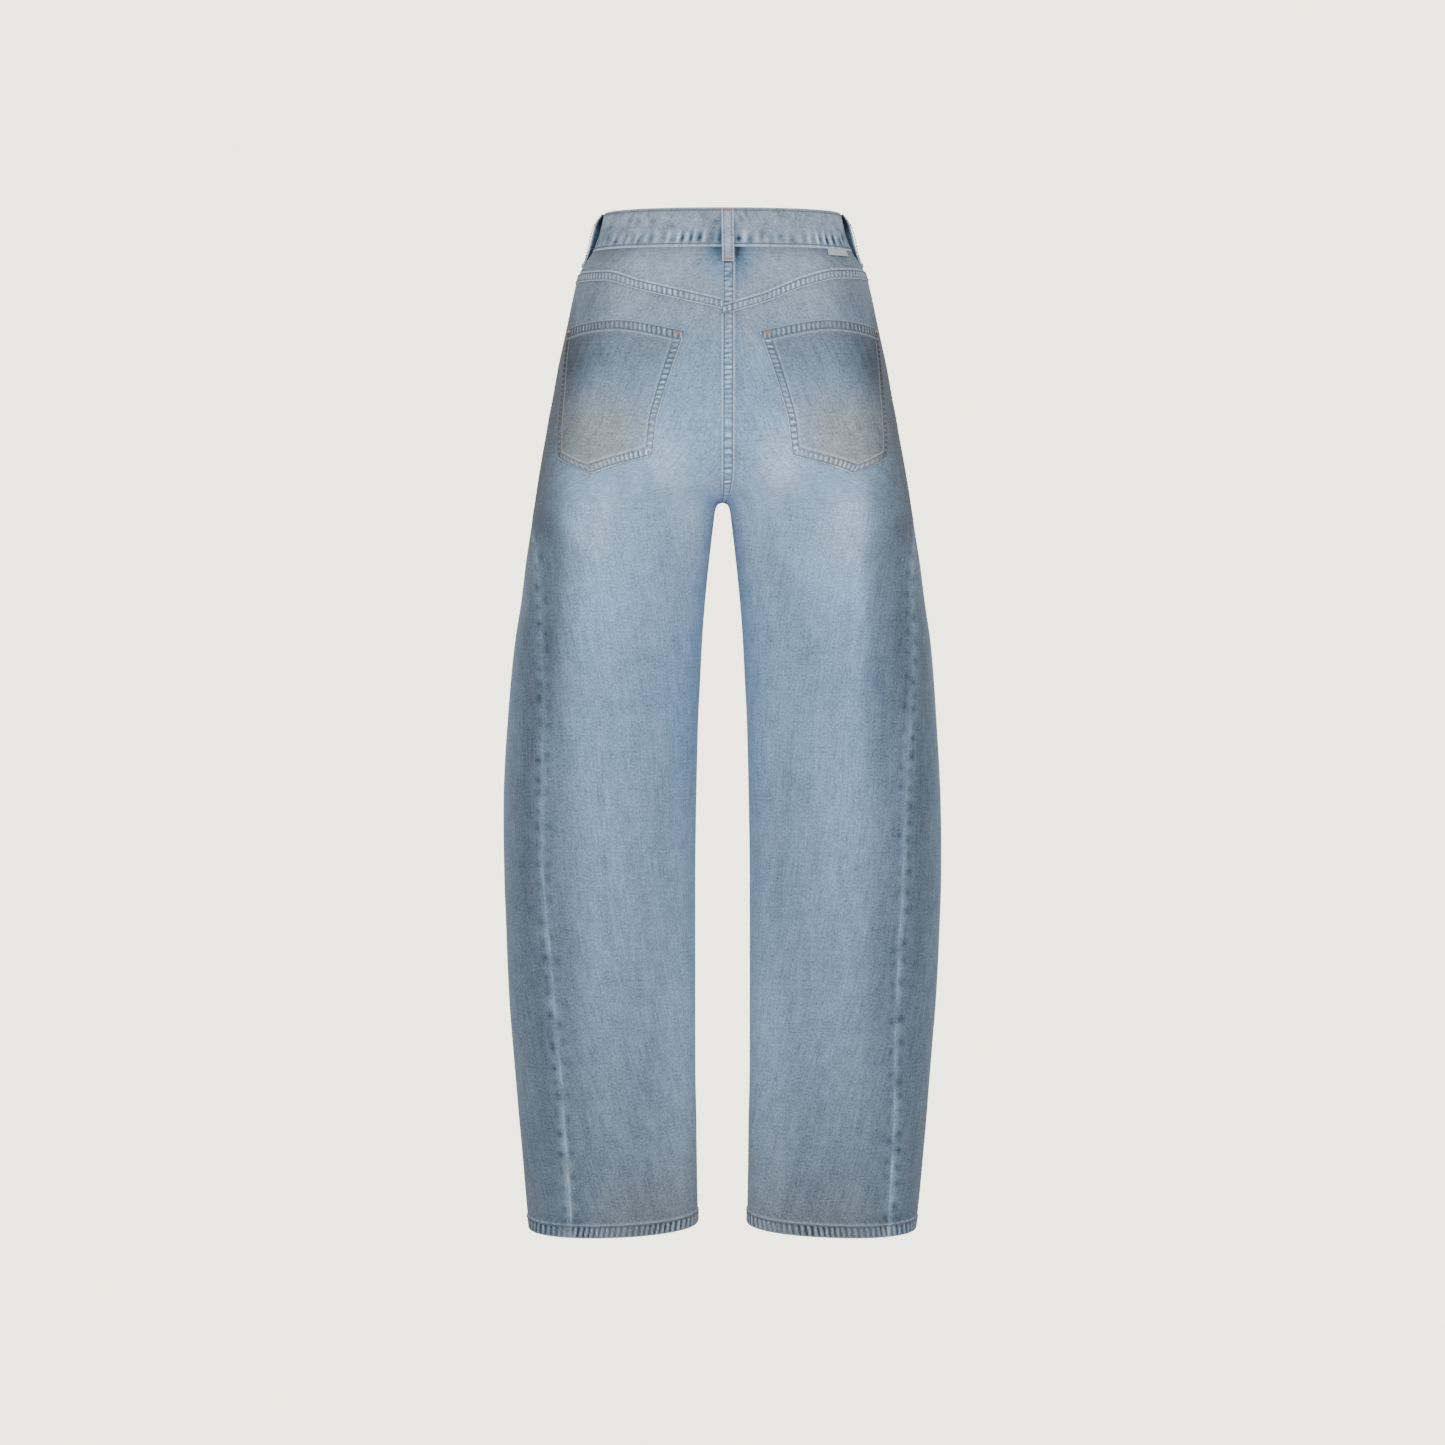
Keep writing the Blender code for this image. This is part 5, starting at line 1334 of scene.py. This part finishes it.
def fly_shield(cloth):
    """The strip behind the centre front opening."""
    down = graded([0.0, 1.0], [0.03])
    distance = graded([-FLY_RIGHT, FLY_LEFT], [2.0])
    share, distance = np.meshgrid(down, distance, indexing="ij")
    top = -BAND_HEIGHT - 2 * GAP
    row = top + (-BAND_HEIGHT - FLY_LENGTH - top) * share
    speed = between(LENGTHS, row, np.full_like(row, 0.1)) / 0.1
    turn = distance / speed * (1 - 0.35 * share**3)
    look = paint(0.3 + 0 * row, 0.3)
    made = shell("cloth_fly_shield", row, turn, -WALL - 0.6, -WALL - 1.8, 1, look, cloth,
                 MAP_SHIFT["fly_shield"])
    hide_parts("fly_shield")
    return made


def side_name(word, side):
    return word + ("_left" if side > 0 else "_right")


def capsules(name, starts, ends, normals, radius, material, sides=5):
    """Many short threads as one mesh, each sunk into the cloth at its ends."""
    starts, ends, normals = (np.concatenate(v) for v in (starts, ends, normals))
    axis = ends - starts
    axis = axis / np.linalg.norm(axis, axis=1, keepdims=True)
    across = np.cross(axis, normals)
    across = across / np.linalg.norm(across, axis=1, keepdims=True)
    up = np.cross(across, axis)
    shares = np.array([0.0, 0.14, 0.5, 0.86, 1.0])
    rise = np.array([-0.9, 0.25, 0.55, 0.25, -0.9]) * radius
    thick = np.array([0.55, 0.95, 1.0, 0.95, 0.55]) * radius
    angle = 2 * math.pi * np.arange(sides) / sides
    circle = np.stack([np.cos(angle), np.sin(angle)])
    line = starts[:, None, :] + (ends - starts)[:, None, :] * shares[None, :, None]
    line = line + up[:, None, :] * rise[None, :, None]
    ring = across[:, None, :] * circle[0][None, :, None] + up[:, None, :] * circle[1][None, :, None]
    points = line[:, :, None, :] + ring[:, None, :, :] * thick[None, :, None, None]
    count = len(starts)
    levels = len(shares)
    base = (np.arange(count) * levels * sides)[:, None]
    faces = []
    for level in range(levels - 1):
        for k in range(sides):
            after = (k + 1) % sides
            quad = np.array([k, after, after + sides, k + sides]) + level * sides
            faces.append(base + quad[None, :])
    quads = np.concatenate(faces).tolist()
    caps = (base + np.arange(sides)[::-1][None, :]).tolist()
    caps += (base + (levels - 1) * sides + np.arange(sides)[None, :]).tolist()
    return make(name, points.reshape(-1, 3), quads + caps, material)


def sampled(at, along, grid):
    """Vectors of a path at distances along it."""
    return np.stack([np.interp(at, along, grid[:, n]) for n in range(3)], axis=1)


class Threads:
    """Collects the stitches of one group."""

    def __init__(self):
        self.starts = []
        self.ends = []
        self.normals = []

    def line(self, row, turn, lift, side, pitch=STITCH, gap=STITCH_GAP):
        """Stitches along a path over the cloth."""
        row, turn, lift = np.broadcast_arrays(*(np.asarray(v, float) for v in (row, turn, lift)))
        point, normal = worn(row, turn, lift, side)
        step = np.linalg.norm(np.diff(point, axis=0), axis=1)
        along = np.concatenate([[0.0], np.cumsum(step)])
        count = max(1, int(along[-1] / pitch))
        edges = np.linspace(0.0, along[-1], count + 1)
        low = edges[:-1] + gap / 2
        high = edges[1:] - gap / 2
        self.starts.append(sampled(low, along, point))
        self.ends.append(sampled(high, along, point))
        self.normals.append(sampled((low + high) / 2, along, normal))

    def tack(self, row, turn, lift, side, wide, high, count):
        """A bar tack: threads laid side by side across a short bar."""
        for k in range(count):
            share = (k + 0.5) / count - 0.5
            middle = row + share * high if high > wide else row
            shift = 0.0 if high > wide else share * wide
            reach = wide / 2 if high > wide else 0.0
            tall = 0.0 if high > wide else high / 2
            rows = np.array([middle + tall, middle - tall])
            turns = moved(rows, np.full(2, turn), np.array([shift - reach, shift + reach]))
            self.line(rows, turns, lift, side, pitch=999.0, gap=0.0)

    def build(self, name, material, radius=THREAD):
        """The group's stitches as one piece."""
        return capsules(name, self.starts, self.ends, self.normals, radius, material)


def moved(row, turn, distance):
    """Turn moved along the cloth, also across the middle."""
    near = np.clip(np.where(turn > 1, 2 - turn, np.abs(turn)), 0.05, 0.95)
    span = between(LENGTHS, row, near + 0.02) - between(LENGTHS, row, near - 0.02)
    return turn + distance * 0.04 / span


def stitching(thread_grey, thread_tack):
    """Every stitch line and bar tack."""
    back = Threads()
    front = Threads()
    hems = Threads()
    band = Threads()
    tacks = Threads()
    for side in (1, -1):
        for up in YOKE_LINES:
            share = np.linspace(0.0, 1.0, 160)
            turn = np.full(len(share), 0.5) + 0.5 * share
            row = yoke_row(turn, side) + up
            back.line(row, turn, FELL_RISE, side)
        for inset in POCKET_LINES:
            u = inset / POCKET_WIDE
            v = inset / POCKET_HIGH
            low = POCKET_HEM / POCKET_HIGH if inset == POCKET_LINES[1] else 0.01
            point = POCKET_END["across"][1]
            across = np.concatenate([np.full(80, u), np.linspace(u, point, 80),
                                     np.linspace(point, 1 - u, 50), np.full(80, 1 - u)])
            down = np.concatenate([np.linspace(low, 1 - v, 80), np.full(130, 1 - v),
                                   np.linspace(1 - v, low, 80)])
            row, distance = pocket_place(across, down)
            sides, from_top, from_end = pocket_edges(across, down)
            swell = ramp(np.minimum(sides, from_end) / 45.0) * ramp(from_top / 30.0)
            back.line(row, turn_at(row, distance), POCKET_LIFT + POCKET_WALL + 0.05 + 1.2 * swell, side)
        for inset in (POCKET_LINES[0], POCKET_HEM - 1.2):
            across = np.linspace(0.015, 0.985, 120)
            row, distance = pocket_place(across, np.full(120, inset / POCKET_HIGH))
            back.line(row, turn_at(row, distance), POCKET_LIFT + POCKET_WALL + 0.2, side)
        for corner in (0.045, 0.955):
            row, distance = pocket_place(np.array([corner]), np.array([0.028]))
            turn = turn_at(row, distance)
            tacks.tack(row[0], turn[0], POCKET_LIFT + POCKET_WALL + 0.45, side, 7.6, 2.6, 13)
        for first, last in ((0.0, 0.5), (0.5, 1.0)):
            turn = np.linspace(first, last, 260)
            hems.line(np.full(260, HEM_ROW + HEM_LINE), turn, HEM_EXTRA + SUNK, side)
        angle = np.linspace(0.0, math.pi / 2, 120)
        for inset in MOUTH_LINES:
            turn = 0.5 - (0.5 - SCOOP_TURN) * np.cos(angle) * (MOUTH_WIDE + inset) / MOUTH_WIDE
            row = -BAND_HEIGHT - GAP - (SCOOP_DEPTH + inset) * np.sin(angle)
            front.line(row, turn, SUNK, side)
        for turn, down in ((SCOOP_TURN, 4.0), (0.492, SCOOP_DEPTH + 5.0)):
            tacks.tack(-BAND_HEIGHT - down, turn - 0.012, 0.2, side, 7.0, 2.4, 12)
    for offset in FELL_LINES:
        row = np.linspace(-BAND_HEIGHT - 1.0, CROTCH_ROW + 4.0, 260)
        turn = turn_at(row, np.full(260, offset))
        back.line(row, turn, FELL_RISE * ramp((row - CROTCH_ROW) / 25.0), -1)
    for inset in FLY_LINES:
        straight = FLY_RIGHT + 8.0 - inset
        turn_row = -FLY_LENGTH - BAND_HEIGHT + FLY_RIGHT + 8.0
        bend = np.linspace(0.0, math.pi / 2 * 0.97, 60)
        along = np.concatenate([np.full(80, straight), straight * np.cos(bend)])
        row = np.concatenate([np.linspace(-BAND_HEIGHT - 1.0, turn_row, 80),
                              turn_row - straight * np.sin(bend) * 42.0 / 38.0])
        speed = between(LENGTHS, row, np.full(len(row), 0.1)) / 0.1
        front.line(row, along / speed, SUNK, 1)
    front.line(np.linspace(-BAND_HEIGHT - 1.0, CROTCH_ROW + 10.0, 200), 2.0 / 560.0, SUNK, 1)
    for row in BAND_LINES:
        turn = np.linspace(-0.041, 2 - 0.05, 900)
        band.line(np.full(900, row), turn, BAND_OUT + 0.05, 1)
    tacks.tack(-BAND_HEIGHT - 128.0, 0.022, 0.2, 1, 2.4, 7.0, 12)
    for _, turn, table, side in loop_places():
        rows = np.linspace(table["row"][0] - 1.5, table["row"][-1] + 1.0, 60)
        lift = smooth(table["row"], table["lift"], rows) + LOOP_WALL - 0.05
        for offset in (-LOOP_WIDTH / 2 + 2.0, LOOP_WIDTH / 2 - 2.0):
            band.line(rows, moved(rows, np.full(60, turn), np.full(60, offset)), lift, side)
        for row in (table["row"][0] - 2.0, table["row"][-1] + 2.4):
            height = float(smooth(table["row"], table["lift"], row)) + LOOP_WALL + 0.05
            tacks.tack(row, turn, height, side, 10.4, 2.0, 18)
    for group, threads in (("back", back), ("front", front), ("hems", hems), ("waistband", band)):
        threads.build("stitches_" + group, thread_grey)
    tacks.build("bar_tacks", thread_tack, TACK_THREAD_RADIUS)


def loop_places():
    """Name, turn, table and side of each belt loop."""
    back_length = float(LENGTHS[0, -1] - LENGTHS[0, -25]) * 10.0
    return [
        ("loop_back", 1.0 + BACK_LOOP_AT / back_length, BACK_LOOP, 1),
        ("loop_side_left", 0.5, SIDE_LOOP, 1),
        ("loop_side_right", 0.5, SIDE_LOOP, -1),
        ("loop_front_left", FRONT_LOOP_TURN, FRONT_LOOP, 1),
        ("loop_front_right", FRONT_LOOP_TURN, FRONT_LOOP, -1),
    ]


def studio():
    """Pale sweep, soft lights all round and the photo's camera."""
    profile = [(0.0, FLOOR_HEIGHT), (3.0, FLOOR_HEIGHT)]
    for k in range(13):
        angle = math.pi / 2 * k / 12
        profile.append((SWEEP_RADIUS - SWEEP_ROUND * (1 - math.sin(angle)),
                        FLOOR_HEIGHT + SWEEP_ROUND * (1 - math.cos(angle))))
    profile.append((SWEEP_RADIUS, FLOOR_HEIGHT + SWEEP_WALL))
    segments = 96
    points = []
    faces = []
    for radius, height in profile:
        for k in range(segments):
            angle = 2 * math.pi * k / segments
            points.append((radius * math.cos(angle), radius * math.sin(angle), height))
    for level in range(len(profile) - 1):
        for k in range(segments):
            after = (k + 1) % segments
            faces.append((level * segments + k, level * segments + after,
                          (level + 1) * segments + after, (level + 1) * segments + k))
    mesh = bpy.data.meshes.new("studio_sweep")
    mesh.from_pydata(points, [], faces)
    mesh.polygons.foreach_set("use_smooth", np.ones(len(faces), bool))
    sweep = bpy.data.objects.new("studio_sweep", mesh)
    bpy.context.scene.collection.objects.link(sweep)
    paper = bpy.data.materials.new("paper")
    paper.use_nodes = True
    shader = paper.node_tree.nodes["Principled BSDF"]
    shader.inputs["Base Color"].default_value = (0.0, 0.0, 0.0, 1.0)
    shader.inputs["Roughness"].default_value = 1.0
    shader.inputs["Specular IOR Level"].default_value = 0.0
    shader.inputs["Emission Color"].default_value = (*PAPER_GLOW, 1.0)
    shader.inputs["Emission Strength"].default_value = 1.0
    mesh.materials.append(paper)
    sweep.visible_diffuse = False
    sweep.visible_glossy = False
    sweep.visible_shadow = False
    world = bpy.data.worlds.new("studio_world")
    bpy.context.scene.world = world
    world.use_nodes = True
    world.node_tree.nodes["Background"].inputs[0].default_value = (1.0, 1.0, 1.0, 1.0)
    world.node_tree.nodes["Background"].inputs[1].default_value = WORLD_STRENGTH
    for k, place in enumerate(LIGHT_PLACES):
        data = bpy.data.lights.new(f"softbox_{k}", "AREA")
        data.shape = "SQUARE"
        data.size = LIGHT_SIZE
        data.energy = LIGHT_POWER
        light = bpy.data.objects.new(f"softbox_{k}", data)
        light.location = place
        towards = Vector((0.0, 0.0, AIM_HEIGHT)) - light.location
        light.rotation_euler = towards.to_track_quat("-Z", "Y").to_euler()
        bpy.context.scene.collection.objects.link(light)
    camera = bpy.data.objects.new("photo_camera", bpy.data.cameras.new("photo_camera"))
    rise = math.radians(PHOTO_RISE)
    aim = Vector((0.0, 0.0, AIM_HEIGHT))
    camera.location = aim + Vector((0.0, math.cos(rise), math.sin(rise))) * PHOTO_DISTANCE
    camera.rotation_euler = (aim - camera.location).to_track_quat("-Z", "Y").to_euler()
    camera.data.lens = LENS
    camera.data.sensor_width = SENSOR
    bpy.context.scene.collection.objects.link(camera)
    bpy.context.scene.camera = camera


DENIM = denim("washed_denim")
GREY_THREAD = thread("grey_thread", GREY_COLOUR)
TACK_THREAD = thread("tack_thread", TACK_COLOUR)
METAL = aged_metal("aged_metal")
TAPE = tape("woven_tape")

studio()
PIECES = {"waistband": waistband(DENIM), "fly_shield": fly_shield(DENIM), "label": label_tab(TAPE)}
for hand in (1, -1):
    PIECES[side_name("yoke", hand)] = yoke(hand, DENIM)
    PIECES[side_name("back", hand)] = back_panel(hand, DENIM)
    PIECES[side_name("front", hand)] = front_panel(hand, DENIM)
    PIECES[side_name("pocket_facing", hand)] = pocket_facing(hand, DENIM)
    PIECES[side_name("pocket_back", hand)] = back_pocket(hand, DENIM)
for name, turn, table, hand in loop_places():
    PIECES[name] = belt_loop("cloth_" + name, turn, table, hand, DENIM)
    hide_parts(name)
stitching(GREY_THREAD, TACK_THREAD)
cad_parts["button"].data.materials.clear()
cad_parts["button"].data.materials.append(METAL)
